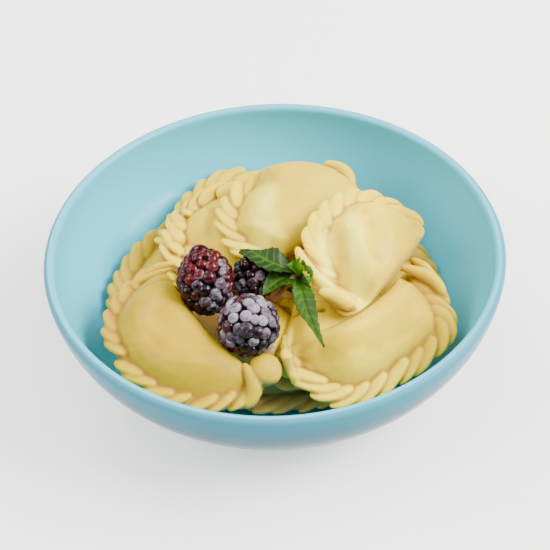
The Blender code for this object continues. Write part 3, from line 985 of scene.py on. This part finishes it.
def braid_strands(ball_mesh, dumpling, edge, seed, pitch):
    """The meshes of a dumpling's strands: those of its braid, and those of its own."""
    rng = np.random.default_rng(seed + STRAND_SEED)
    length = edge.along[-1]
    count = strand_count(length, pitch)
    tangent = headings(edge.braid)
    share = np.linspace(0, 1, STRAND_POINTS)
    meshes = []
    for number in range(-1, count):
        start = (number + 0.5 + rng.uniform(-0.13, 0.13)) * length / count
        wide = rng.uniform(0.88, 1.12) * length / count / (9 * MM)
        slant = SLANT * rng.uniform(0.82, 1.12)
        rise = rng.uniform(-0.3, 0.3) * MM
        tip = STRAND_TIP * rng.uniform(0.5, 1.3)
        distance = -tip + share * (GROOVE * dumpling.band + tip + 0.9 * MM)
        along = start + slant * distance + 1.2 * MM * np.sin(math.pi * share)
        if start < dumpling.bare * length or not 0 <= along[STRAND_POINTS // 2] <= length - 1 * MM:
            continue
        ends = np.clip(np.minimum(along, length - along) / (6 * MM), 0.2, 1)
        at = np.clip(along, 0, length)
        ahead = between(at, edge.along, tangent)
        inward = np.stack([-ahead[:, 1], ahead[:, 0]], 1)
        plan = between(at, edge.along, edge.braid) + inward * distance[:, None]
        height = np.interp(share, *STRAND_HEIGHT) * MM + rise
        radii = np.interp(share, *STRAND_RADIUS) * MM * wide * (0.6 + 0.4 * ends)
        path = raised(dumpling, np.column_stack([plan, height]))
        meshes.append(drawn_out(ball_mesh, path, radii, STRAND_FLAT, STRAND_ROLL))
    for strand in EXTRA_STRANDS.get(dumpling.name, ()):
        points, radii = smooth_path(strand.points, strand.radii)
        meshes.append(drawn_out(ball_mesh, raised(dumpling, points * MM), radii * MM))
    return meshes


def knob_ball(dumpling):
    """The round bulb of dough where the braid of one dumpling ends."""
    skin = bmesh.new()
    bmesh.ops.create_icosphere(skin, subdivisions=5, radius=KNOB_RADIUS)
    for vertex in skin.verts:
        x, y, z = vertex.co / KNOB_RADIUS
        uneven = 1 + 0.05 * math.sin(3.1 * x + 1.2) * math.cos(2.7 * y)
        uneven += 0.04 * math.sin(4 * z + 2 * x)
        stretched = Vector(value * stretch for value, stretch in zip((x, y, z), KNOB_STRETCH))
        vertex.co = stretched * KNOB_RADIUS * uneven
    place = posed(dumpling, *(np.array([value]) * MM for value in KNOB_PLACE))[0]
    bmesh.ops.translate(skin, vec=Vector(place), verts=skin.verts)
    return mesh_of(skin, "knob")


def fused(mesh, voxel):
    """One closed skin of parts that overlap, with the creases between them softened."""
    name = mesh.name
    lump = bpy.data.objects.new("lump", mesh)
    bpy.context.scene.collection.objects.link(lump)
    remesh = lump.modifiers.new("fuse", "REMESH")
    remesh.mode = "VOXEL"
    remesh.voxel_size = voxel
    soften = lump.modifiers.new("soften", "SMOOTH")
    soften.iterations = SOFTENINGS
    depsgraph = bpy.context.evaluated_depsgraph_get()
    made = bpy.data.meshes.new_from_object(lump.evaluated_get(depsgraph))
    bpy.data.objects.remove(lump)
    bpy.data.meshes.remove(mesh)
    made.name = name
    made.shade_smooth()
    return made


def mark_creases(mesh):
    """Stores how deep in a crease, and how far out on a ridge, each vertex of a skin lies, for the painted
    shade in the creases and the painted highlight on the ridges.
    """
    ends = np.zeros(len(mesh.edges) * 2, int)
    mesh.edges.foreach_get("vertices", ends)
    ends = ends.reshape(-1, 2)
    places = vectors(mesh, "co")
    degree = np.maximum(np.bincount(ends.ravel(), minlength=len(places)), 1)[:, None]

    def spread(values):
        total = np.zeros_like(values)
        np.add.at(total, ends[:, 0], values[ends[:, 1]])
        np.add.at(total, ends[:, 1], values[ends[:, 0]])
        return (values + total / degree) / 2

    smooth = places
    for _ in range(CREASE_ROUNDS):
        smooth = spread(smooth)
    depth = ((smooth - places) * vectors(mesh, "normal")).sum(1)[:, None]
    for _ in range(CREASE_SPREAD):
        depth = spread(depth)
    # The crease depth drives the painted shade in the dough's creases.
    store(mesh, "crease", np.clip(depth[:, 0] / CREASE_DEPTH, 0, 1))
    # How far out on a ridge a vertex lies; the finish paints a highlight there.
    store(mesh, "thin", np.clip(-depth[:, 0] / CREASE_DEPTH, 0, 1))


def pour(mesh, dumpling):
    """Stores where melted butter lies on a dumpling, and the streaks of fat that carry a painted highlight.
    """
    x, y, _ = vectors(mesh, "co").T
    wobble = 0.2 * unevenness(x, y, 13 * MM, FILM_SEED)
    wobble += 0.1 * unevenness(x, y, 5 * MM, FINE_FILM_SEED)
    for name, table, edge in (("butter", POOLS, 0.5), ("gleam", PAINTED_HIGHLIGHTS, 0)):
        film = np.zeros(len(x))
        for pool in table.get(dumpling.name, ()):
            points = np.array([(*point, FILM_HEIGHT) for point in pool.points]) * MM
            points = posed(dumpling, *points.T)[:, :2] / MM
            for start, end in zip(points, points[1:]):
                away = near_line(x, y, start, end) / (pool.radius * MM) + wobble
                film = np.maximum(film, pool.strength * (1 - ease(away, edge, 1.08)))
        store(mesh, name, film)


def tone(mesh, dumpling):
    """Stores a dumpling's painted light and shade and how oily it is: how pale it is painted, how deep its
    painted shade is, and painted shade where it looks down.
    """
    x, y, _ = vectors(mesh, "co").T
    look = LOOKS.get(dumpling.name, Look())
    away = ease(np.hypot(x - PALE_HOLLOW[0], y - PALE_HOLLOW[1]), *HOLLOW_FADE)
    # Painted shade where the surface looks down, except in the hollow of the pile.
    store(mesh, "under", (1 - ease(vectors(mesh, "normal")[:, 2], -0.1, 0.5)) * away)
    # Painted light, which fades towards the right side to leave it painted in shade.
    store(mesh, "pale", look.pale * (1 - 0.75 * ease(x, *RIGHT_FADE)))
    store(mesh, "oily", np.full(len(x), look.oily))
    # Painted shade where the dumpling lies low or under the berries, none in the hollow, and towards the
    # left side.
    store(mesh, "deep", np.maximum(look.deep * away, 0.25 * ease(-x, *LEFT_FADE)))


def dumpling_mesh(ball, strand_ball, dumpling, seed, pitch):
    """A dumpling, with its braid and all that its finish needs, laid on what is under it."""
    edge = Edge(dumpling)
    parts = [plain_skin(ball, dumpling, edge, seed, pitch)]
    parts += braid_strands(strand_ball, dumpling, edge, seed, pitch)
    if dumpling.knob:
        parts.append(knob_ball(dumpling))
    mesh = joined(parts, "dumpling_" + dumpling.name.removeprefix("pierogi_"))
    mesh = fused(mesh, HIDDEN_VOXEL if dumpling.name in HIDDEN else VOXEL)
    mark_creases(mesh)
    pour(mesh, dumpling)
    tone(mesh, dumpling)
    return mesh


# ---------------------------------------------------------------- the berries and the mint


def ball_points(count, rng):
    """Directions spread evenly over a ball, and shaken a little."""
    golden = math.pi * (3 - math.sqrt(5))
    i = np.arange(count)
    height = 1 - 2 * (i + 0.5) / count
    reach = np.sqrt(1 - height**2)
    points = np.stack([reach * np.cos(golden * i), reach * np.sin(golden * i), height], 1)
    points += rng.normal(0, 0.35 / math.sqrt(count), points.shape)
    return unit(points)


def berry_mesh(berry, seed):
    """Drupelets packed round a core, in the berry's own place."""
    low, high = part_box(berry.node)
    rng = np.random.default_rng(seed)
    skin = bmesh.new()
    layers = number_layers(skin, ("frost", "red", "cap", "tone"))
    sizes = Vector((berry.radius, berry.radius, berry.half_length)) * MM
    lean = Matrix.Rotation(math.radians(90 - berry.climb), 4, "Y")
    turn = Matrix.Rotation(math.radians(berry.heading), 4, "Z")
    place = Matrix.Translation((low + high) / 2) @ turn @ lean
    drupelet = math.sqrt(4 * math.pi / berry.drupelets) * DRUPELET_SIZE
    core = 1 - drupelet * CORE_SINK
    bmesh.ops.create_uvsphere(
        skin, u_segments=24, v_segments=16, radius=core,
        matrix=place @ Matrix.Diagonal((*sizes, 1)),
    )
    scale = (berry.radius + berry.half_length) / 2 * MM
    for number, point in enumerate(ball_points(berry.drupelets, rng)):
        way = Vector(point)
        size = drupelet * scale * rng.uniform(0.88, 1.12)
        frost_share, red_share, shade = rng.normal(0, 0.2), rng.normal(0, 0.2), rng.uniform(0.2, 1)
        if number == 0:
            size *= SMOOTH_TIP
        seat = Vector(a * b for a, b in zip(way * (1 - drupelet * DRUPELET_SINK), sizes))
        made = bmesh.ops.create_icosphere(
            skin, subdivisions=3, radius=size, matrix=place @ Matrix.Translation(seat) @ turned_to(way)
        )
        centre = place @ seat
        out = (place.to_3x3() @ way).normalized()
        frost = berry.frost + 0.5 * out.dot(Vector(berry.frost_way)) + frost_share
        red = berry.red + 0.5 * out.dot(Vector(berry.red_way)) + red_share
        if number == 0:
            frost = TIP_FROST * (berry.frost > 0.5)
        for vertex in made["verts"]:
            cap = (vertex.co - centre).normalized().dot(out)
            for layer, value in zip(layers, (frost, red, cap, shade)):
                vertex[layer] = value
    return mesh_of(skin, "frozen_" + berry.node)


def leaf_mesh(leaf, number):
    """A leaf: a fine grid, cut to a toothed outline, ribbed along its veins and folded at its midrib."""
    skin = bmesh.new()
    bmesh.ops.create_grid(skin, x_segments=LEAF_COLUMNS, y_segments=LEAF_ROWS, size=0.5)
    layers = number_layers(skin, MINT_NUMBERS)
    grid = np.array([vertex.co for vertex in skin.verts])
    along, across = grid[:, 0] + 0.5, 2 * grid[:, 1]
    beside = np.abs(across)
    base, middle, tip = (np.array(point) * MM for point in (leaf.base, leaf.middle, leaf.tip))
    control = 2 * middle - (base + tip) / 2
    t = along[:, None]
    spine = (1 - t) ** 2 * base + 2 * t * (1 - t) * control + t**2 * tip
    ahead = 2 * (1 - t) * (control - base) + 2 * t * (tip - control)
    side = unit(np.stack([-ahead[:, 1], ahead[:, 0], np.zeros(len(grid))], 1))
    half = leaf.width * MM / 2 * np.maximum(0.05, np.sin(math.pi * along**0.8)) ** 0.85
    teeth = 1 - TOOTH_DEPTH * ((along * leaf.teeth) % 1) * ease(beside, 0.5, 1)
    rib = np.abs(((along * leaf.teeth - 0.55 * beside * leaf.teeth / 6) % 1) - 0.5) * 2
    side_veins = 0.75 * np.exp(-(((1 - rib) / 0.22) ** 2)) * (beside < 0.93)
    vein = np.maximum(np.exp(-((across / 0.09) ** 2)), side_veins)
    length = np.linalg.norm(tip - base)
    swell = 0.045 * length * (1 - vein) * (1 - across**2) * np.minimum(1, 4 * along * (1 - along))
    wave = 0.03 * length * np.sin(along * 11 + number) * across * beside
    points = spine + side * (across * half * teeth)[:, None]
    points[:, 2] += beside * half * LEAF_FOLD + swell * 0.5 + wave
    ground = GROUND.sample(GROUND.height, points[:, 0], points[:, 1])
    points[:, 2] = smooth_max(points[:, 2], ground + LEAF_GAP, LEAF_ROUNDING)
    for vertex, point, vein_here in zip(skin.verts, points, vein):
        vertex.co = point
        for layer, value in zip(layers, (vein_here, leaf.young, 0)):
            vertex[layer] = value
    bmesh.ops.solidify(skin, geom=skin.faces[:], thickness=LEAF_THICKNESS)
    bmesh.ops.recalc_face_normals(skin, faces=skin.faces)
    return mesh_of(skin, "leaf")


def stalk_mesh():
    """The stalk of the mint, and the node that its leaves grow from."""
    node, stalk_end = Vector(MINT_NODE) * MM, Vector(MINT_STALK_END) * MM
    stalk = stalk_end - node
    skin = bmesh.new()
    _, young_layer, stalk_layer = number_layers(skin, MINT_NUMBERS)
    made = bmesh.ops.create_cone(
        skin, cap_ends=True, segments=24, radius1=STALK_RADIUS * MM, radius2=STALK_RADIUS * MM * STALK_TAPER,
        depth=stalk.length, matrix=Matrix.Translation(node + stalk / 2) @ turned_to(stalk),
    )
    for vertex in made["verts"]:
        vertex[stalk_layer] = 1
    made = bmesh.ops.create_icosphere(
        skin, subdivisions=4, radius=NODE_RADIUS * MM,
        matrix=Matrix.Translation(node + Vector((0, 0, NODE_DROP * MM))),
    )
    for vertex in made["verts"]:
        vertex[young_layer] = 0.9
    return mesh_of(skin, "stalk")


def mint_mesh():
    """The sprig: its leaves, its node and its stalk."""
    leaves = [leaf_mesh(leaf, number) for number, leaf in enumerate(LEAVES)]
    return joined([*leaves, stalk_mesh()], "sprig_of_mint")


# ---------------------------------------------------------------- shader expressions


class Value:
    """A shader socket that can be used in a Python expression."""

    def __init__(self, paint, socket):
        self.paint = paint
        self.socket = socket

    def _with(self, operation, first, second):
        return self.paint.node("ShaderNodeMath", {0: first, 1: second}, operation=operation)

    def __add__(self, other):
        return self._with("ADD", self, other)

    def __radd__(self, other):
        return self._with("ADD", other, self)

    def __sub__(self, other):
        return self._with("SUBTRACT", self, other)

    def __rsub__(self, other):
        return self._with("SUBTRACT", other, self)

    def __mul__(self, other):
        return self._with("MULTIPLY", self, other)

    def __rmul__(self, other):
        return self._with("MULTIPLY", other, self)


class Paint:
    """A material and its nodes."""

    def __init__(self, name):
        self.material = bpy.data.materials.new(name)
        self.material.use_nodes = True
        self.tree = self.material.node_tree
        self.shader = self.tree.nodes["Principled BSDF"]

    def node(self, kind, inputs=None, output=0, **settings):
        """A node with its settings, and then the values or links of its sockets."""
        made = self.tree.nodes.new(kind)
        for name, setting in settings.items():
            setattr(made, name, setting)
        for name, value in (inputs or {}).items():
            self.feed(made.inputs[name], value)
        return Value(self, made.outputs[output])

    def feed(self, socket, value):
        """Links a socket, or sets it."""
        if isinstance(value, Value):
            self.tree.links.new(value.socket, socket)
        elif isinstance(value, tuple) and len(value) == 3 and socket.type == "RGBA":
            socket.default_value = (*value, 1)
        else:
            socket.default_value = value

    def set(self, **inputs):
        """Sets or links the shader's own sockets, with spaces for the underscores."""
        for name, value in inputs.items():
            self.feed(self.shader.inputs[name.replace("_", " ")], value)

    def place(self):
        """Object coordinates."""
        return self.node("ShaderNodeTexCoord", output=3)

    def stored(self, *names):
        """Numbers that are stored on the piece's vertices."""
        return [self.node("ShaderNodeAttribute", attribute_name=name, output=2) for name in names]

    def grain(self, scale, detail=3, roughness=0.5, distortion=0):
        """Noise of a scale in Object coordinates."""
        inputs = {
            "Vector": self.place(), "Scale": scale, "Detail": detail,
            "Roughness": roughness, "Distortion": distortion,
        }
        return self.node("ShaderNodeTexNoise", inputs)

    def mix(self, first, second, factor):
        """A colour between two colours."""
        inputs = {0: factor, 6: first, 7: second}
        return self.node("ShaderNodeMix", inputs, output=2, data_type="RGBA")

    def step(self, value, start, end, low=0, high=1):
        """A smooth step of a value."""
        inputs = {0: value, 1: start, 2: end, 3: low, 4: high}
        return self.node("ShaderNodeMapRange", inputs, interpolation_type="SMOOTHSTEP")

    def bump(self, height, distance, strength=1, below=None):
        """A bump from a height between 0 and 1."""
        inputs = {"Height": height, "Distance": distance, "Strength": strength}
        if below is not None:
            inputs["Normal"] = below
        return self.node("ShaderNodeBump", inputs)


def linear(colour):
    """A colour of 0 to 255 screen values as scene-linear numbers."""
    shares = [value / 255 for value in colour]
    return tuple(
        share / 12.92 if share <= 0.04045 else ((share + 0.055) / 1.055) ** 2.4 for share in shares
    )


# ---------------------------------------------------------------- materials


def glaze_material(settings):
    """A glossy aqua glaze with painted shade over its outside, darker towards the foot, and thinner along
    the rim.
    """
    paint = Paint("bowl_glaze")
    (outside,) = paint.stored("outside")
    height = paint.node("ShaderNodeSeparateXYZ", {0: paint.place()}, output=2)
    low = 1 - paint.step(height, 36 * MM, 55 * MM)
    thin = paint.step(height, RIM_HEIGHT - 2.2 * MM, RIM_HEIGHT)
    fleck = paint.step(paint.grain(900, 2), 0.68, 0.74)
    colour = paint.mix(tuple(settings.glaze), linear(GLAZE_CLOUD), paint.grain(9, 2) * 0.12)
    # Painted shade: the outside is darker, most towards the foot.
    colour = paint.mix(colour, tuple(settings.glaze_outside_shade), outside * (0.66 + 0.34 * low))
    colour = paint.mix(colour, linear(GLAZE_THIN), thin * 0.2)
    colour = paint.mix(colour, linear(GLAZE_FLECK), fleck * 0.12)
    paint.set(
        Base_Color=colour,
        Roughness=paint.step(paint.grain(24, 3), 0.3, 0.7, 0.13, 0.2),
        Coat_Weight=0.18 - 0.18 * outside,
        Coat_Roughness=0.12,
        IOR=1.4,
        Specular_IOR_Level=0.08,
        Normal=paint.bump(paint.grain(60, 2), 0.35 * MM, 0.5),
    )
    return paint.material


def dough_material(settings):
    """Boiled dough: yellow and buttery, with painted shade in its creases, under it and where it lies low,
    painted highlights on its ridges and streaks of fat, and pools of butter.
    """
    paint = Paint("dough")
    crease, thin, under = paint.stored("crease", "thin", "under")
    butter, gleam = paint.stored("butter", "gleam")
    pale, oily, deep = paint.stored("pale", "oily", "deep")
    patches = paint.step(paint.grain(38, 3, 0.55), 0.35, 0.68)
    speck = paint.step(paint.grain(1500, 2), 0.64, 0.76)
    # Painted light: each dumpling's paleness, the painted highlight on the ridges, and random patches of
    # tone.
    light = pale + patches * 0.16 + thin * 0.25
    colour = paint.mix(tuple(settings.dough), tuple(settings.dough_pale), light)
    # Painted shade: the dough is darker deep in its creases.
    colour = paint.mix(colour, tuple(settings.dough_crease_shade), crease * 0.85)
    # Painted shade: browner where a dumpling lies low, under the berries, or towards the left.
    colour = paint.mix(colour, linear(DOUGH_PAINTED_SHADE), deep)
    # Painted shade under the dumplings, where their surfaces look down.
    colour = paint.mix(colour, linear(DOUGH_PAINTED_UNDER_SHADE), under * 0.75)
    # Painted highlight: pale streaks where fat gleams.
    colour = paint.mix(colour, linear(DOUGH_HIGHLIGHT_PAINT), gleam * 0.9)
    colour = paint.mix(colour, tuple(settings.butter), butter * 0.9)
    colour = paint.mix(colour, linear(DOUGH_SPECK), speck * 0.16)
    wet = paint.step(paint.grain(70, 3), 0.35, 0.7)
    roughness = paint.step(wet - gleam * 0.3 - oily * 0.3, -0.5, 1, 0.22, 0.5) + butter * 0.3
    fine = paint.bump(paint.grain(2600, 3), 0.05 * MM, 0.6)
    paint.set(
        Base_Color=colour,
        Roughness=roughness,
        Coat_Weight=paint.step(wet * 0.06 + gleam * oily * 0.3 + oily * 0.06, 0, 1, 0, 1),
        Coat_Roughness=0.2,
        IOR=1.4,
        Specular_IOR_Level=0.15,
        Subsurface_Weight=0.3,
        Subsurface_Radius=(1, 0.62, 0.28),
        Subsurface_Scale=3 * MM,
        Normal=paint.bump(paint.grain(520, 4, 0.6), 0.16 * MM, 0.55, fine),
    )
    return paint.material


def berry_material(settings):
    """Frozen berry skin: deep red to purple-black, under a pale bloom of frost, with painted shade in the
    gaps between the drupelets.
    """
    paint = Paint("berry_skin")
    frost, red, cap, shade = paint.stored("frost", "red", "cap", "tone")
    colour = paint.mix(tuple(settings.berry_dark), tuple(settings.berry_red), paint.step(red, 0, 1))
    # Painted shade: nearly black low on each drupelet, in the gaps between them.
    colour = paint.mix(colour, linear(DRUPELET_GAP_SHADE), (1 - paint.step(cap, 0.25, 0.68)) * 0.9)
    mottled = paint.grain(420, 4, 0.65, 0.4)
    crystals = paint.grain(1700, 3, 0.7)
    ring = paint.step(cap, 0.3, 0.65) * (1 - paint.step(cap, 0.8, 0.98) * 0.6)
    cover = frost - 0.85 + mottled * 1.1 + (ring - 0.6) * 0.5 * shade
    cover = paint.step(cover, 0.1, 0.85)
    rime = paint.step(crystals * 0.6 + shade * 0.35 + mottled * 0.3, 0.5, 0.86)
    rime = paint.mix(linear(FROST_SHADE), tuple(settings.frost), rime)
    colour = paint.mix(colour, rime, cover * paint.step(cap, 0.36, 0.66) * 0.9)
    paint.set(
        Base_Color=colour,
        Roughness=paint.step(cover, 0, 1, 0.2, 0.72),
        Subsurface_Weight=0.25,
        Subsurface_Radius=(1, 0.2, 0.3),
        Subsurface_Scale=1.6 * MM,
        Specular_IOR_Level=0.16,
        Coat_Weight=paint.step(cover, 0, 1, 0.14, 0),
        Coat_Roughness=0.1,
        Normal=paint.bump(crystals * cover, 0.18 * MM, 0.9),
    )
    return paint.material


def leaf_material(settings):
    """Mint: fresh green, lighter along its veins and paler where it is young."""
    paint = Paint("mint_leaf")
    vein, young, stalk = paint.stored(*MINT_NUMBERS)
    colour = paint.mix(tuple(settings.leaf_dark), tuple(settings.leaf_light), young)
    colour = paint.mix(colour, linear(LEAF_MOTTLE), paint.grain(180, 3) * 0.25)
    colour = paint.mix(colour, linear(LEAF_VEIN), vein * 0.45)
    colour = paint.mix(colour, linear(STALK_COLOUR), stalk)
    paint.set(
        Base_Color=colour,
        Roughness=paint.step(paint.grain(300, 2), 0.3, 0.7, 0.45, 0.62),
        Subsurface_Weight=0.2,
        Subsurface_Radius=(0.5, 1, 0.3),
        Subsurface_Scale=1 * MM,
        Specular_IOR_Level=0.2,
        Normal=paint.bump(paint.grain(900, 3), 0.12 * MM, 0.7),
    )
    return paint.material


# ---------------------------------------------------------------- settings and operators


def colour_property(name, description, screen):
    """A colour that a user may change, from its 0 to 255 screen values."""
    return bpy.props.FloatVectorProperty(
        name=name, description=description, subtype="COLOR", size=3, min=0, max=1, default=linear(screen)
    )


class BowlSettings(bpy.types.PropertyGroup):
    """The bowl's finish."""

    glaze: colour_property("Glaze", "Colour of the glaze", (76, 182, 202))
    # The colour of the painted shade on the outside, towards the foot.
    glaze_outside_shade: colour_property("Low glaze", "Colour of the glaze towards the foot", (30, 80, 98))


class DoughSettings(bpy.types.PropertyGroup):
    """The dumplings' braid and colours."""

    pitch: bpy.props.FloatProperty(
        name="Pitch", description="Distance from one strand of a braid to the next",
        default=8.8 * MM, min=4 * MM, max=20 * MM, unit="LENGTH", subtype="DISTANCE",
    )
    dough: colour_property("Dough", "Colour of the boiled dough", (168, 134, 3))
    # The pale colour shows painted light on the brighter lit dumplings and on the ridges.
    dough_pale: colour_property("Pale dough", "Colour where the dough is thin or dry", (244, 210, 40))
    # The colour of the painted shade deep in the creases between the strands.
    dough_crease_shade: colour_property("Creases", "Colour deep between the strands", (150, 106, 34))
    butter: colour_property("Butter", "Colour of the melted butter", (204, 170, 0))


class ToppingSettings(bpy.types.PropertyGroup):
    """The colours of the berries and the mint."""

    berry_dark: colour_property("Dark berry", "Colour of a ripe drupelet", (20, 4, 11))
    berry_red: colour_property("Red berry", "Colour of a less ripe drupelet", (72, 2, 7))
    frost: colour_property("Frost", "Colour of the frost on the berries", (168, 156, 170))
    leaf_dark: colour_property("Mint", "Colour of a grown leaf", (5, 29, 1))
    leaf_light: colour_property("Young mint", "Colour of a young leaf", (53, 93, 1))


class StageSettings(bpy.types.PropertyGroup):
    """The table, the light and the camera."""

    table: colour_property("Table", "Colour of the table", (244, 242, 238))
    light: bpy.props.FloatProperty(
        name="Light", description="Strength of the soft lights", default=1, min=0, max=10
    )


class PIEROGI_OT_bowl(bpy.types.Operator):
    """Turns the glazed bowl"""

    bl_idname = "pierogi.bowl"
    bl_label = "Bowl"

    def execute(self, context):
        mesh = turned_bowl()
        material = glaze_material(context.scene.pierogi_bowl)
        put(mesh, material, "bowl")
        GROUND.add(mesh)
        return {"FINISHED"}


class PIEROGI_OT_dumplings(bpy.types.Operator):
    """Lays the braided dumplings in the bowl, from the bottom upwards"""

    bl_idname = "pierogi.dumplings"
    bl_label = "Dumplings"

    def execute(self, context):
        settings = context.scene.pierogi_dough
        material = dough_material(settings)
        ball = ball_of_dough(COLUMNS, RINGS)
        strand_ball = ball_of_dough(STRAND_COLUMNS, STRAND_RINGS)
        for seed, dumpling in enumerate(PILE):
            mesh = dumpling_mesh(ball, strand_ball, dumpling, seed, settings.pitch)
            put(mesh, material, dumpling.name)
            GROUND.add(mesh)
        return {"FINISHED"}


class PIEROGI_OT_berries(bpy.types.Operator):
    """Makes the three frozen berries"""

    bl_idname = "pierogi.berries"
    bl_label = "Berries"

    def execute(self, context):
        material = berry_material(context.scene.pierogi_toppings)
        for seed, berry in enumerate(BERRIES, BERRY_SEED):
            mesh = berry_mesh(berry, seed)
            put(mesh, material, berry.node)
            GROUND.add(mesh)
        return {"FINISHED"}


class PIEROGI_OT_mint(bpy.types.Operator):
    """Lays the sprig of mint beside the berries"""

    bl_idname = "pierogi.mint"
    bl_label = "Mint"

    def execute(self, context):
        material = leaf_material(context.scene.pierogi_toppings)
        put(mint_mesh(), material, "mint_sprig")
        return {"FINISHED"}


def add_table(settings):
    """A pale table, wider than the view."""
    skin = bmesh.new()
    bmesh.ops.create_grid(skin, x_segments=8, y_segments=8, size=TABLE_HALF)
    floor = bpy.data.objects.new("table", mesh_of(skin, "table"))
    bpy.context.scene.collection.objects.link(floor)
    paint = Paint("pale_table")
    colour = paint.mix(tuple(settings.table), linear(TABLE_SHADE), paint.grain(90, 4) * 0.3)
    paint.set(Base_Color=colour, Roughness=0.85, Emission_Color=(1, 1, 1), Emission_Strength=0.75)
    floor.data.materials.append(paint.material)


def add_light(light, strength):
    """A soft area light that looks at the food."""
    data = bpy.data.lights.new(light.name, "AREA")
    data.shape = "RECTANGLE"
    data.size, data.size_y = light.size
    data.energy = light.power * strength
    lamp = bpy.data.objects.new(light.name, data)
    bpy.context.scene.collection.objects.link(lamp)
    lamp.location = light.place
    lamp.rotation_euler = (LIGHT_TARGET - Vector(light.place)).to_track_quat("-Z", "Y").to_euler()


def add_room(strength):
    """The faint light that comes from everywhere."""
    world = bpy.data.worlds.new("soft_room")
    bpy.context.scene.world = world
    world.use_nodes = True
    background = world.node_tree.nodes["Background"]
    background.inputs["Color"].default_value = (*ROOM_COLOUR, 1)
    background.inputs["Strength"].default_value = ROOM_STRENGTH * strength


def add_camera():
    """The camera, in front of the bowl and above it, rolled a little."""
    camera = bpy.data.objects.new("camera", bpy.data.cameras.new("camera"))
    bpy.context.scene.collection.objects.link(camera)
    elevation = math.radians(CAMERA_ELEVATION)
    place = Vector((0, -math.cos(elevation), math.sin(elevation))) * CAMERA_DISTANCE
    place.z += RIM_HEIGHT
    forward = (CAMERA_TARGET - place).normalized()
    right = forward.cross(Vector((0, 0, 1))).normalized()
    up = right.cross(forward)
    roll = math.radians(CAMERA_ROLL)
    across = right * math.cos(roll) + up * math.sin(roll)
    upward = up * math.cos(roll) - right * math.sin(roll)
    turn = Matrix((across, upward, -forward)).transposed().to_4x4()
    camera.matrix_world = Matrix.Translation(place) @ turn
    camera.data.lens = CAMERA_LENS
    camera.data.sensor_width = CAMERA_SENSOR
    bpy.context.scene.camera = camera


class PIEROGI_OT_stage(bpy.types.Operator):
    """Sets the table, the soft light and the camera"""

    bl_idname = "pierogi.stage"
    bl_label = "Table, light and camera"

    def execute(self, context):
        settings = context.scene.pierogi_stage
        add_table(settings)
        for light in LIGHTS:
            add_light(light, settings.light)
        add_room(settings.light)
        add_camera()
        return {"FINISHED"}


OPERATORS = (
    PIEROGI_OT_bowl, PIEROGI_OT_dumplings, PIEROGI_OT_berries, PIEROGI_OT_mint, PIEROGI_OT_stage,
)
SETTINGS = {
    "pierogi_bowl": BowlSettings,
    "pierogi_dough": DoughSettings,
    "pierogi_toppings": ToppingSettings,
    "pierogi_stage": StageSettings,
}


class PIEROGI_PT_panel(bpy.types.Panel):
    """Lists the pieces of the bowl of pierogi"""

    bl_label = "Bowl of pierogi"
    bl_space_type = "VIEW_3D"
    bl_region_type = "UI"
    bl_category = "Pierogi"

    def draw(self, context):
        for name, group in SETTINGS.items():
            for key in group.__annotations__:
                self.layout.prop(getattr(context.scene, name), key)
        for operator in OPERATORS:
            self.layout.operator(operator.bl_idname)


def register():
    for kind in (*SETTINGS.values(), *OPERATORS, PIEROGI_PT_panel):
        bpy.utils.register_class(kind)
    for name, group in SETTINGS.items():
        setattr(bpy.types.Scene, name, bpy.props.PointerProperty(type=group))


def unregister():
    for name in SETTINGS:
        delattr(bpy.types.Scene, name)
    for kind in (PIEROGI_PT_panel, *reversed(OPERATORS), *reversed(tuple(SETTINGS.values()))):
        bpy.utils.unregister_class(kind)


def main():
    register()
    bpy.ops.pierogi.bowl()
    bpy.ops.pierogi.dumplings()
    bpy.ops.pierogi.berries()
    bpy.ops.pierogi.mint()
    bpy.ops.pierogi.stage()


if __name__ == "__main__":
    main()
